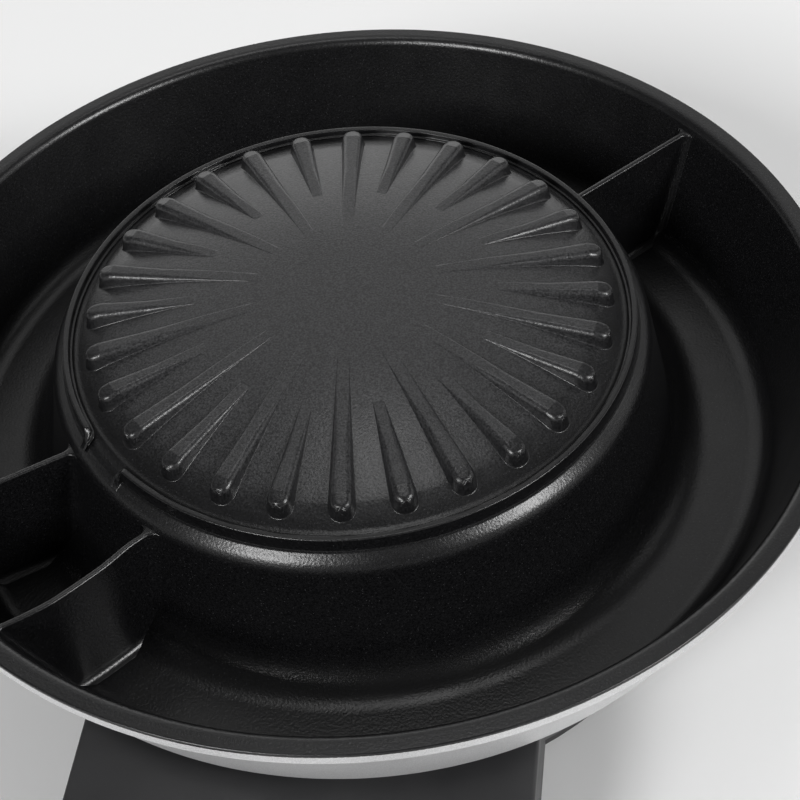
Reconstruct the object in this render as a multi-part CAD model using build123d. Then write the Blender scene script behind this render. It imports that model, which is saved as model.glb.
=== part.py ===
from build123d import *
import math
import os

# Electric hot pot with a grill island: a coated cast pan on a moulded heating base.
# Millimetres, Z up from the table. The pieces are drawn about the pan's axis, with the
# control box towards -Y, and moved at the end so that the origin is the footprint's centre.

# Pan: outer wall and rim
rim_height = 112.0
rim_radius = 171.3
rim_edge = 5.0
rim_round = 0.6
rim_inner_round = 4.0
rim_width = 6.9
pan_depth = 49.0
wall_taper = 16.4
wall_top_radius = rim_radius - rim_width
wall_foot_radius = wall_top_radius - wall_taper
wall_thickness = 3.8
floor_thickness = 4.0
moat_outer_round = 8.0
moat_inner_round = 7.0
pan_corner_round = 10.0

# Pan: grill island
lip_outer_radius = 100.0
dome_rise = 19.0
plate_sag = 12.2
plate_thickness = 4.0
plate_edge_inset = 9.0
plate_edge_round = 4.0
margin_inset = 7.0
margin_rise = 4.4
margin_round = 2.0
plate_edge_radius = lip_outer_radius - plate_edge_inset
margin_inner_radius = lip_outer_radius - margin_inset
dome_radius = (plate_edge_radius ** 2 + plate_sag ** 2) / (plate_sag * 2)
lip_top_rise = 6.56
lip_thickness = 1.9
lip_lean = 1.2
lip_foot_spread = 0.3
lip_foot_round = 0.8
lip_edge_round = 0.5
shoulder_rise = 1.0
shoulder_round = 8.0
island_draft = 8.6

# Pan: ribs of the grill plate
rib_count = 28
rib_first_angle = 45.5
rib_end_inset = 8.9
long_rib_inner_radius = 28.7
short_rib_inner_radius = 52.0
rib_end_rise = 12.1
rib_inner_width = 4.4
rib_outer_width = 7.2
rib_edge_round = 1.4
rib_draft = 8.0
rib_facet_length = 4.1
rib_facet_drop = 1.1
rib_root = 2.0
rib_nose_radius = lip_outer_radius - rib_end_inset - rib_outer_width / 2

# Pan: drain outlet through the lip
drain_angle = -136.4
drain_sweep = 12.0
drain_ramp_inset = 4.5
drain_ramp_reach = 3.0
drain_ramp_end_drop = 1.2
drain_cheek_length = 4.2
drain_cheek_thickness = 2.0

# Pan: dividers of the moat
divider_drop = 4.3
divider_thickness = 2.2
divider_draft = 3.0
divider_edge_round = 0.7
main_divider_angle = 45.0
box_divider_angle = -145.1
curved_divider_inner_angle = -120.0
curved_divider_mid_angle = -121.6
curved_divider_outer_angle = -125.0

# Pan: guides, bosses and lugs below
guide_wall = 2.0
guide_height = 8.4
boss_radius = 6.5
boss_offset = 6.0
boss_screw_radius = lip_outer_radius + boss_offset
boss_height = 13.0
boss_drop = 3.0
boss_hole_depth = 11.0
clip_boss_radius = 4.0
clip_boss_offset = 11.5
lug_width = 64.0
lug_thickness = 8.0
lug_drop = 12.0
lug_overhang = 12.7
lug_reach = rim_radius + lug_overhang
lug_corner = 8.0
lug_screw_skin = 2.0

# Base shell
foot_height = 6.0
cover_thickness = 3.0
shell_seat = 2.0
shell_taper = 21.0
shell_wall = 2.8
shell_top_round = 1.2
ledge_width = 8.5
gasket_inset = 1.0
gasket_width = 4.0
shell_top_radius = wall_foot_radius - shell_seat
shell_foot_radius = shell_top_radius - shell_taper
ledge_inner_radius = shell_top_radius - ledge_width
gasket_inner_radius = ledge_inner_radius + gasket_inset
gasket_outer_radius = gasket_inner_radius + gasket_width

# Heaters
heater_radius = 4.0
heater_gap = 0.4
heater_ledge_gap = 1.1
grill_ring_share = 0.62
pot_heater_ring = ledge_inner_radius - heater_ledge_gap - guide_wall - heater_gap - heater_radius
grill_heater_ring = lip_outer_radius * grill_ring_share
heater_bend = 12.0
pot_heater_open = 60.0
grill_heater_open = 50.0
pot_heater_leg = 8.0
grill_heater_leg = 36.0
guide_opening = 4.0
heater_pin_radius = 1.5
heater_pin_length = 8.0
heater_seal_length = 3.0
heater_seal_radius = 2.6

# Clips that hold the heaters in their guides
clip_width = 12.0
clip_thickness = 1.5
clip_overhang = 1.0
pot_clip_angles = (25.0, 110.0, 215.0, 325.0)
grill_clip_angles = (30.0, 150.0, 270.0)

# Control box on the front of the shell
box_overhang = 80.0
box_reach = shell_foot_radius + box_overhang
box_chin = 8.0
box_corner = 9.0
panel_tilt = 26.0
panel_width = 132.0
panel_height = 36.0
panel_border = 9.0
panel_corner = 6.0
panel_thickness = 2.0
panel_gap = 0.15
panel_offset = 21.6
box_width = panel_width + panel_border * 2
knob_spacing_share = 0.606
knob_spacing = panel_width * knob_spacing_share
lamp_spacing = 18.0
box_boss_radius = 4.5
box_boss_inset = 6.5
box_boss_back = 26.0
box_boss_height = 24.0

# Bottom cover
cover_rim_wall = 1.6
cover_rim_height = 4.0
cover_fit = 0.4
pillar_radius = 6.5
pillar_foot_radius = 8.5
pillar_foot_height = 31.0
vent_count = 18
vent_inner_radius = 30.0
vent_outer_radius = 82.0
vent_width = 4.0
vent_rib = 5.0
cover_boss_radius = 4.5
cover_boss_height = 8.0

# Screws
pan_screw_radius = 2.5
pan_screw_head = 4.6
pan_screw_head_height = 4.0
small_screw_radius = 1.6
small_screw_head = 3.0
small_screw_head_height = 2.2
small_screw_length = 11.0
clip_screw_length = 8.0
handle_screw_radius = 2.4
handle_screw_head = 4.4
handle_screw_head_height = 3.0
screw_fit = 0.05
screw_clearance = 0.4
counterbore_depth = 6.0
drive_radius_share = 0.55
drive_depth_share = 0.6
head_round_share = 0.5

# Feet
rubber_foot_radius = 11.0
rubber_foot_taper = 1.2
rubber_foot_bore = 4.2
rubber_foot_web = 2.2
foot_circle_inset = 17.0
foot_circle_radius = shell_foot_radius - foot_circle_inset
foot_angles = (0.0, 90.0, 180.0, 270.0)

# Handles
handle_reach = 51.0
handle_width = 124.0
handle_corner = 22.0
handle_root = 16.0
handle_grip = 17.0
handle_thickness = 17.0
handle_round = 5.0
handle_window_width = 84.0
handle_window_corner = 7.0
handle_standoff = 3.0
handle_fit = 0.2
handle_socket_depth = 9.0
handle_screw_spacing = 40.0

# Heat shield
shield_overhang = 14.0
shield_radius = boss_screw_radius + shield_overhang
shield_thickness = 0.8
shield_rim = 6.0
shield_bead_radius = 86.0
shield_bead_height = 2.4
shield_bead_width = 7.0
shield_notch_width = 104.0
shield_notch_start = 76.0
shield_fit = 0.3

# Thermostats, shafts and knobs
thermostat_width = 30.0
thermostat_height = 25.0
thermostat_depth = 17.0
thermostat_edge = 2.0
tab_width = 6.3
tab_thickness = 0.8
tab_length = 8.0
tab_spacing = 14.0
bushing_radius = 4.9
bushing_length = 4.0
bushing_hole = 5.1
nut_flats = 13.0
nut_height = 2.6
shaft_radius = 3.0
shaft_length = 14.0
shaft_inner_length = 10.0
shaft_flat = 1.4
shaft_flat_length = 8.0
shaft_fit = 0.05
knob_radius = 15.0
knob_skirt_radius = 17.0
knob_skirt_height = 3.0
knob_height = 17.5
knob_gap = 0.8
knob_taper = 3.0
knob_cavity_radius = 10.0
knob_cavity_height = 5.6
knob_flute_count = 20
knob_flute_radius = 1.5
knob_flute_offset = 0.4
knob_skirt_chamfer = 1.0
knob_edge_round = 1.5
knob_pointer_width = 2.0
knob_pointer_depth = 0.9

# Indicator lamps
lens_radius = 3.0
lens_flange_radius = 4.2
lens_flange_height = 0.9
lens_dome_height = 1.6
lens_dome_share = 0.9
lamp_body_radius = 4.6
lamp_body_length = 13.0
lamp_body_chamfer = 1.1

# Sensors
bulb_radius = 3.0
bulb_length = 26.0
bulb_tip = 1.2
bulb_round = 1.0
bulb_fit = 0.15
bulb_pocket_wall = 2.6
pot_pocket_depth = 15.0
grill_pocket_depth = 22.0
bulb_ring_inset = 12.5
pot_bulb_radius = pot_heater_ring - bulb_ring_inset
pot_bulb_angle = -70.0
pot_sensor_level = 25.5
grill_sensor_level = 30.0
grill_bulb_inset = 16.0
grill_bulb_radius = lip_outer_radius - grill_bulb_inset
grill_bulb_angle = -112.0
capillary_radius = 0.9
capillary_bend = 4.0
capillary_lift = 8.3
capillary_exit = 12.0
capillary_turn = 8.0

# Thermal fuse
fuse_radius = 2.5
fuse_length = 18.0
fuse_angle = -90.0
fuse_circle_radius = pot_bulb_radius
sleeve_sink = 0.25

# Terminal block and inlet
block_length = 54.0
block_depth = 18.0
block_height = 15.0
block_beyond = 10.0
block_back = shell_foot_radius + block_beyond
block_ways = 4
block_pitch = 12.0
block_well_inset = 2.6
block_well_radius = 1.8
block_well_depth = 2.0
block_step = 3.0
inlet_land_width = 60.0
inlet_land_reach = shell_top_radius
inlet_land_inner_round = 0.7
inlet_height = 30.0
inlet_flange_width = 50.0
inlet_flange_height = 26.0
inlet_flange_thickness = 3.0
inlet_body_width = 28.0
inlet_body_height = 20.4
inlet_body_depth = 25.0
inlet_wall = 1.8
inlet_socket_depth = 16.5
inlet_chamfer = 5.0
inlet_corner = 3.0
inlet_fit = 0.2
inlet_screw_spacing = 40.0
inlet_boss_radius = 3.4
inlet_boss_length = 8.0
inlet_pin_width = 4.0
inlet_pin_thickness = 2.0
inlet_pin_spacing = 14.0
inlet_pin_offset = 4.0
inlet_pin_length = 14.0
inlet_tab_length = 9.0

# Wiring
lead_radius = 1.4
lead_bend = 3.0
lead_end = 8.0
supply_lane = 6.0
supply_level = 20.0
supply_drop = 36.0
grill_lead_over = 48.0
grill_lead_front = 92.0
grill_lead_lane = 33.0
link_level = 14.0
link_lane_offset = 19.0
link_lane = block_back + link_lane_offset
fuse_lead_lane = 24.0
fuse_lead_level = 13.0
pot_lead_level = 17.0
lamp_lead_level = 19.0
earth_lane = 24.0
earth_shield_gap = 4.6
earth_radius = shield_radius + lead_radius + earth_shield_gap

# Cuts run past the faces that they open by one overrun
overrun = 1.0

# Shares along a curve, from its start to its end, and the bound between along and across
curve_shares = (0.0, 0.5, 1.0)
middle_share = 0.5
across_share = 0.5

# Heights worked out from the sizes above
floor_top = rim_height - pan_depth
floor_bottom = floor_top - floor_thickness
cover_top = foot_height + cover_thickness
shell_height = floor_bottom - boss_drop - cover_top
shell_top = cover_top + shell_height
dome_top = rim_height + dome_rise
dome_centre = dome_top - dome_radius
margin_height = rim_height + margin_rise
lip_top = rim_height + lip_top_rise
shoulder_top = rim_height + shoulder_rise
divider_top = rim_height - divider_drop
wall_slope = (wall_top_radius - wall_foot_radius) / pan_depth
rib_end_top = rim_height + rib_end_rise
lug_top = rim_height - lug_drop
shoulder_centre_radius = lip_outer_radius + lip_foot_spread
shoulder_centre_height = shoulder_top - shoulder_round


def polar(radius, angle):
    """Point at a radius and an angle in degrees about the pan's axis."""
    return radius * math.cos(math.radians(angle)), radius * math.sin(math.radians(angle))


def tube(inner, outer, low, high):
    """Upright ring about the pan's axis."""
    return Pos(0, 0, low) * extrude(Circle(outer) - Circle(inner), high - low)


def group(pieces):
    """One node from several separate solids."""
    return Compound([solid for piece in pieces for solid in piece.solids()])


def disc(radius, low, high):
    """Upright disc about the pan's axis."""
    return Pos(0, 0, low) * extrude(Circle(radius), high - low)


def rod(place, radius, low, high):
    """Upright round bar at a place in plan."""
    return Pos(place[0], place[1], low) * extrude(Circle(radius), high - low)


def rounded(face, corners):
    """Face with each named corner rounded by its own radius."""
    for point, radius in corners:
        nearest = face.vertices().sort_by_distance(Vector(point[0], point[1], 0))[0]
        face = fillet(nearest, radius)
    return face


def spun(face):
    """Solid of revolution about the pan's axis, from a half section drawn as radius and height."""
    return revolve(Plane.XZ * face, Axis.Z)


def dome_height(radius, skin=0.0):
    """Height of the domed plate, or of a sphere that lies deeper by skin, at a radius."""
    return dome_centre + math.sqrt((dome_radius - skin) ** 2 - radius ** 2)


def inner_wall_radius(height):
    """Radius of the pan's inner wall at a height."""
    return wall_top_radius - (rim_height - height) * wall_slope


def island_wall_radius(height):
    """Radius of the island's outer wall at a height below its shoulder."""
    tangent_radius = shoulder_centre_radius + shoulder_round * math.cos(math.radians(island_draft))
    tangent_height = shoulder_centre_height + shoulder_round * math.sin(math.radians(island_draft))
    return tangent_radius + (tangent_height - height) * math.tan(math.radians(island_draft))


def screw(radius, head_radius, head_height, length):
    """Pan head screw with its shank up from zero and its head below, and a cross recess."""
    head = Pos(0, 0, -head_height) * extrude(Circle(head_radius), head_height)
    head = fillet(head.edges().sort_by(Axis.Z)[0], head_height * head_round_share)
    slot_width = head_radius * drive_radius_share / 2
    drive = Rectangle(head_radius * 2 * drive_radius_share, slot_width)
    drive += Rectangle(slot_width, head_radius * 2 * drive_radius_share)
    drive = Pos(0, 0, -head_height) * extrude(drive, head_height * drive_depth_share)
    return extrude(Circle(radius), length) + head - drive


# Pan


def island_arc(skin):
    """Quarter turn of the island's shoulder, or of its hollow side, from wall to top."""
    radius = shoulder_round - skin
    start = math.radians(island_draft)
    middle = (start + math.pi / 2) / 2
    points = []
    for angle in (start, middle, math.pi / 2):
        points.append((shoulder_centre_radius + radius * math.cos(angle),
                       shoulder_centre_height + radius * math.sin(angle)))
    return points


def dome_arc(skin, edge):
    """Points on the dome, or on its hollow side, from the axis to an edge radius."""
    return [(radius, dome_height(radius, skin)) for radius in (0, edge / 2, edge)]


def pan_section():
    """Half section of the casting without ribs, dividers and outlet."""
    upper_dome = dome_arc(0, plate_edge_radius)
    lower_dome = dome_arc(plate_thickness, plate_edge_radius)
    upper_arc = island_arc(0)
    lower_arc = island_arc(wall_thickness)
    margin_start = (margin_inner_radius, margin_height)
    lip_foot = (lip_outer_radius - lip_thickness - lip_lean, margin_height)
    lip_inner = (lip_outer_radius - lip_thickness, lip_top)
    lip_outer = (lip_outer_radius, lip_top)
    moat_inner = (island_wall_radius(floor_top), floor_top)
    moat_outer = (wall_foot_radius, floor_top)
    rim_inner = (wall_top_radius, rim_height)
    rim_outer = (rim_radius, rim_height)
    edge_low = (rim_radius, rim_height - rim_edge)
    edge_root = (inner_wall_radius(rim_height - rim_edge) + wall_thickness, rim_height - rim_edge)
    corner = (inner_wall_radius(floor_bottom) + wall_thickness, floor_bottom)
    hollow_foot = (island_wall_radius(floor_bottom) - wall_thickness, floor_bottom)
    outline = ThreePointArc(*upper_dome)
    outline += Polyline(upper_dome[2], margin_start, lip_foot, lip_inner, lip_outer, upper_arc[2])
    outline += ThreePointArc(upper_arc[2], upper_arc[1], upper_arc[0])
    outline += Polyline(upper_arc[0], moat_inner, moat_outer, rim_inner, rim_outer, edge_low,
                        edge_root, corner, hollow_foot, lower_arc[0])
    outline += ThreePointArc(*lower_arc)
    outline += Polyline(lower_arc[2], lower_dome[2])
    outline += ThreePointArc(lower_dome[2], lower_dome[1], lower_dome[0])
    outline += Line(lower_dome[0], upper_dome[0])
    corners = [(upper_dome[2], plate_edge_round), (margin_start, margin_round),
               (lip_foot, lip_foot_round), (lip_inner, lip_edge_round), (lip_outer, lip_edge_round),
               (upper_arc[2], lip_foot_round), (moat_inner, moat_inner_round),
               (moat_outer, moat_outer_round), (rim_inner, rim_inner_round),
               (rim_outer, rim_round), (edge_low, rim_round), (corner, pan_corner_round)]
    return rounded(make_face(outline), corners)


def rib_section(width, top, share):
    """Cross section of a rib with drafted flanks and rounded top edges, or its half for the nose."""
    low = margin_height - plate_thickness
    foot = width / 2 + (top - low) * math.tan(math.radians(rib_draft))
    points = [(foot, low), (width / 2, top), (-width / 2 * share, top), (-foot * share, low)]
    corners = [((width / 2, top), rib_edge_round)]
    if share:
        corners.append(((-width / 2, top), rib_edge_round))
    return rounded(make_face(Polyline(*points, close=True)), corners)


def rib(inner_radius):
    """One grill rib along +X: level with the plate at its inner end, proud at its round nose."""
    facet_top = rib_end_top + rib_facet_drop
    inner_plane = Plane(origin=(inner_radius, 0, 0), x_dir=(0, 1, 0), z_dir=(1, 0, 0))
    outer_plane = Plane(origin=(rib_nose_radius, 0, 0), x_dir=(0, 1, 0), z_dir=(1, 0, 0))
    bar = loft([inner_plane * rib_section(rib_inner_width, dome_height(inner_radius), 1),
                outer_plane * rib_section(rib_outer_width, facet_top, 1)], ruled=True)
    half = Plane.XZ * rib_section(rib_outer_width, facet_top, 0)
    nose = Pos(rib_nose_radius, 0, 0) * (Rot(0, 0, -90) * revolve(half, Axis.Z, 180))
    facet_start = rib_nose_radius + rib_outer_width / 2 - rib_facet_length
    facet_end = facet_start + rib_facet_length * 2
    facet = Polyline((facet_start, facet_top), (facet_end, facet_top - rib_facet_drop * 2),
                     (facet_end, dome_top), (facet_start, dome_top), close=True)
    facet = extrude(Plane.XZ * make_face(facet), rib_outer_width, both=True)
    hollow = Pos(0, 0, dome_centre) * Sphere(dome_radius - rib_root)
    return bar + nose - facet - hollow


def ribs():
    """Ring of long and short ribs in turn, a long one towards the main divider."""
    long_rib = rib(long_rib_inner_radius)
    short_rib = rib(short_rib_inner_radius)
    pieces = []
    for index in range(rib_count):
        piece = long_rib if index % 2 == 0 else short_rib
        pieces.append(Rot(0, 0, rib_first_angle + index * 360 / rib_count) * piece)
    return pieces


def divider_ends(height):
    """Radii between which a divider runs at one height, each inside its wall's thickness."""
    inner = island_wall_radius(height) - wall_thickness / 2
    outer = inner_wall_radius(height) + wall_thickness / 2
    return inner, outer


def divider_half(height):
    """Half thickness of a divider at a height, from its draft."""
    return divider_thickness / 2 + (divider_top - height) * math.tan(math.radians(divider_draft))


def straight_divider(angle):
    """Radial wall across the moat, thicker at its foot."""
    sections = []
    for height in (floor_top - floor_thickness / 2, divider_top):
        inner, outer = divider_ends(height)
        half = divider_half(height)
        place = Pos((inner + outer) / 2, 0, height)
        sections.append(place * Rectangle(outer - inner, half * 2))
    wall = loft(sections, ruled=True)
    crest = wall.edges().group_by(Axis.Z)[-1].filter_by(Axis.X)
    return Rot(0, 0, angle) * fillet(crest, divider_edge_round)


def curved_divider():
    """Wall of the grease compartment that bends towards the compartment on its way out."""
    sections = []
    for height in (floor_top - floor_thickness / 2, divider_top):
        inner, outer = divider_ends(height)
        middle = (inner + outer) / 2
        half = divider_half(height)
        line = []
        for radius, angle in ((inner, curved_divider_inner_angle),
                              (middle, curved_divider_mid_angle),
                              (outer, curved_divider_outer_angle)):
            line.append(Vector(*polar(radius, angle)))
        centre_line = ThreePointArc(*line)
        sides = []
        for offset in (-half, half):
            points = []
            for share in curve_shares:
                tangent = centre_line % share
                points.append(centre_line @ share + Vector(-tangent.Y, tangent.X) * offset)
            sides.append(points)
        outline = ThreePointArc(*sides[0]) + Line(sides[0][2], sides[1][2])
        outline += ThreePointArc(*reversed(sides[1])) + Line(sides[1][0], sides[0][0])
        sections.append(Pos(0, 0, height) * make_face(outline))
    wall = loft(sections, ruled=True)
    crest = wall.edges().group_by(Axis.Z)[-1].filter_by(GeomType.CIRCLE)
    return fillet(crest, divider_edge_round)


def drain_cut():
    """Sector that opens the lip, with a ramp from the plate's margin over the shoulder."""
    ramp_start = lip_outer_radius - drain_ramp_inset
    ramp_end = lip_outer_radius + drain_ramp_reach
    ramp = Polyline((ramp_start, margin_height), (ramp_end, shoulder_top - drain_ramp_end_drop),
                    (ramp_end, lip_top + overrun), (ramp_start, lip_top + overrun), close=True)
    sector = revolve(Plane.XZ * make_face(ramp), Axis.Z, drain_sweep)
    return Rot(0, 0, drain_angle - drain_sweep / 2) * sector


def drain_cheek(side):
    """End of the lip turned outwards, falling to the shoulder, at one side of the outlet."""
    start = lip_outer_radius - lip_thickness
    end = lip_outer_radius + drain_cheek_length
    profile = Polyline((start, margin_height - plate_thickness / 2), (start, lip_top),
                       (lip_outer_radius, lip_top), (end, shoulder_top - drain_ramp_end_drop),
                       (end, shoulder_centre_height), (start, shoulder_centre_height), close=True)
    wall = extrude(Plane.XZ * make_face(profile), drain_cheek_thickness / 2, both=True)
    inward = math.degrees(drain_cheek_thickness / 2 / lip_outer_radius)
    return Rot(0, 0, drain_angle + side * (drain_sweep / 2 + inward)) * wall


def moat_roof(radius):
    """Height inside the thickness of the moat's floor."""
    return floor_top - floor_thickness / 2


def plate_roof(radius):
    """Height inside the thickness of the grill plate at a radius."""
    return dome_height(radius, plate_thickness / 2)


def heater_guides(ring, seat, opening, roof):
    """Two walls that stand down either side of a heater's ring, up into the roof above it."""
    low = seat - guide_height
    gap = heater_radius + heater_gap
    guides = []
    for inner in (ring - gap - guide_wall, ring + gap):
        middle = inner + guide_wall / 2
        section = Pos(middle, (low + roof(middle)) / 2) * Rectangle(guide_wall, roof(middle) - low)
        arc = revolve(Plane.XZ * section, Axis.Z, 360 - opening - guide_opening)
        guides.append(Rot(0, 0, -90 + (opening + guide_opening) / 2) * arc)
    return guides


def clip_bosses(ring, angles, seat, roof):
    """Small round bosses beside the guides, for the screws of the heater clips."""
    bosses = []
    for angle in angles:
        place = polar(ring - clip_boss_offset, angle)
        top = roof(ring - clip_boss_offset)
        bosses.append(rod(place, clip_boss_radius, seat - guide_height, top))
    return bosses


def clip_boss_holes(ring, angles, seat):
    """Screw holes up into the clip bosses."""
    holes = []
    for angle in angles:
        place = polar(ring - clip_boss_offset, angle)
        low = seat - guide_height - overrun
        high = seat - guide_height + clip_screw_length - clip_thickness + screw_clearance
        holes.append(rod(place, small_screw_radius + screw_fit, low, high))
    return holes


pillar_angles = (45.0, 135.0, 225.0, 315.0)
grill_seat = dome_height(grill_heater_ring + heater_radius, plate_thickness)
pot_bulb_place = polar(pot_bulb_radius, pot_bulb_angle)
grill_bulb_place = polar(grill_bulb_radius, grill_bulb_angle)
fuse_place = polar(fuse_circle_radius, fuse_angle)
pocket_radius = bulb_radius + bulb_pocket_wall
grill_pocket_top = dome_height(grill_bulb_radius, plate_thickness / 2)
grill_pocket_low = grill_pocket_top - plate_thickness - grill_pocket_depth
grill_pocket_end = grill_pocket_low + grill_pocket_depth - bulb_tip
pot_pocket_low = floor_bottom - pot_pocket_depth
pot_pocket_end = floor_bottom - bulb_tip


def handle_lug(side):
    """Cast lug for one handle, square to the pan's side."""
    low = lug_top - lug_thickness
    length = lug_reach - wall_foot_radius
    plate = Pos(wall_foot_radius + length / 2, 0, low) * extrude(Rectangle(length, lug_width),
                                                                 lug_thickness)
    outer_corners = plate.edges().filter_by(Axis.Z).group_by(Axis.X)[-1]
    plate = fillet(outer_corners, lug_corner)
    inner_low = inner_wall_radius(low) + wall_thickness / 2
    inner_high = inner_wall_radius(lug_top) + wall_thickness / 2
    plate -= spun(make_face(Polyline((0, low), (inner_low, low), (inner_high, lug_top),
                                     (0, lug_top), close=True)))
    for offset in (-handle_screw_spacing / 2, handle_screw_spacing / 2):
        place = (handle_screw_place(), offset)
        plate -= rod(place, handle_screw_radius + screw_fit, lug_top - lug_thickness - overrun,
                     lug_top - lug_screw_skin)
    turn = 0 if side > 0 else 180
    return Rot(0, 0, turn) * plate


def handle_screw_place():
    """Distance of the handle screws from the pan's axis."""
    return lug_reach - handle_socket_depth / 2 - screw_clearance


def pan():
    """The whole casting."""
    body = spun(pan_section())
    body -= drain_cut()
    additions = ribs()
    additions += [straight_divider(main_divider_angle), straight_divider(box_divider_angle)]
    additions += [curved_divider(), drain_cheek(-1), drain_cheek(1)]
    additions += heater_guides(pot_heater_ring, floor_bottom, pot_heater_open, moat_roof)
    additions += heater_guides(grill_heater_ring, grill_seat, grill_heater_open, plate_roof)
    additions += clip_bosses(pot_heater_ring, pot_clip_angles, floor_bottom, moat_roof)
    additions += clip_bosses(grill_heater_ring, grill_clip_angles, grill_seat, plate_roof)
    for angle in pillar_angles:
        place = polar(boss_screw_radius, angle)
        additions.append(rod(place, boss_radius, floor_bottom - boss_drop,
                             floor_bottom - boss_drop + boss_height))
    pot_roof = moat_roof(pot_bulb_radius)
    additions.append(rod(pot_bulb_place, pocket_radius, pot_pocket_low, pot_roof))
    additions.append(rod(grill_bulb_place, pocket_radius, grill_pocket_low, grill_pocket_top))
    additions.append(rod(fuse_place, clip_boss_radius, floor_bottom - guide_height, pot_roof))
    additions += [handle_lug(1), handle_lug(-1)]
    body = body + additions
    cuts = clip_boss_holes(pot_heater_ring, pot_clip_angles, floor_bottom)
    cuts += clip_boss_holes(grill_heater_ring, grill_clip_angles, grill_seat)
    cuts += clip_boss_holes(fuse_circle_radius + clip_boss_offset, (fuse_angle,), floor_bottom)
    for angle in pillar_angles:
        place = polar(boss_screw_radius, angle)
        low = floor_bottom - boss_drop
        cuts.append(rod(place, pan_screw_radius + screw_fit, low - overrun, low + boss_hole_depth))
    cuts.append(rod(pot_bulb_place, bulb_radius + bulb_fit, pot_pocket_low - overrun,
                    pot_pocket_end))
    cuts.append(rod(grill_bulb_place, bulb_radius + bulb_fit, grill_pocket_low - overrun,
                    grill_pocket_end))
    return body - cuts


# Base shell with its control box


panel_normal = Vector(0, -math.cos(math.radians(panel_tilt)), math.sin(math.radians(panel_tilt)))
panel_rise = Vector(0, math.sin(math.radians(panel_tilt)), math.cos(math.radians(panel_tilt)))
chin_top = cover_top + box_chin
panel_centre = Vector(0, -box_reach, chin_top) + panel_rise * panel_offset
panel_plane = Plane(origin=panel_centre, x_dir=(1, 0, 0), z_dir=panel_normal)


def front_outline(inset, low):
    """Side view of the control box, its front walls moved in by an inset."""
    lean = math.tan(math.radians(panel_tilt))
    slant_inset = inset / math.cos(math.radians(panel_tilt))
    chin_y = -box_reach + inset
    corner_z = chin_top - (slant_inset - inset) / lean
    top_z = shell_top - inset
    top_y = -box_reach + slant_inset + (top_z - chin_top) * lean
    return Polyline((chin_y, low), (chin_y, corner_z), (top_y, top_z), (0, top_z), (0, low),
                    close=True)


def control_box(inset, low):
    """Control box as a solid block, or its cavity where an inset is given."""
    face = Plane.YZ * make_face(front_outline(inset, low))
    block = extrude(face, box_width / 2 - inset, both=True)
    corners = block.edges().filter_by(lambda edge: abs((edge % middle_share).X) < across_share)
    corners = corners.filter_by(lambda edge: (edge @ middle_share).Y < -shell_foot_radius)
    corners = corners.filter_by(lambda edge: abs((edge % middle_share).Z) > across_share)
    return fillet(corners, box_corner - inset)


def tub(inset, low, high):
    """Tapered round body of the shell, or its cavity where an inset is given."""
    slope = (shell_top_radius - shell_foot_radius) / shell_height
    foot = shell_foot_radius - inset + (low - cover_top) * slope
    head = shell_foot_radius - inset + (high - cover_top) * slope
    face = make_face(Polyline((0, low), (foot, low), (head, high), (0, high), close=True))
    return spun(face)


def inlet_land(inset, low):
    """Flat land at the back that carries the inlet, or its cavity."""
    depth = inlet_land_reach - inset
    width = inlet_land_width - inset * 2
    height = shell_top - inset - low
    block = Pos(0, depth / 2, low) * extrude(Rectangle(width, depth), height)
    corners = block.edges().filter_by(Axis.Z).group_by(Axis.Y)[-1]
    return fillet(corners, max(inlet_corner - inset, inlet_land_inner_round))


def box_boss_places():
    """Plan places of the two cover screws in the control box."""
    across = box_width / 2 - box_boss_inset
    return [(side * across, -box_reach + box_boss_back) for side in (-1, 1)]


def inlet_screw_places():
    """Places of the inlet screws across the land."""
    return [(-inlet_screw_spacing / 2, inlet_height), (inlet_screw_spacing / 2, inlet_height)]


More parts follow.
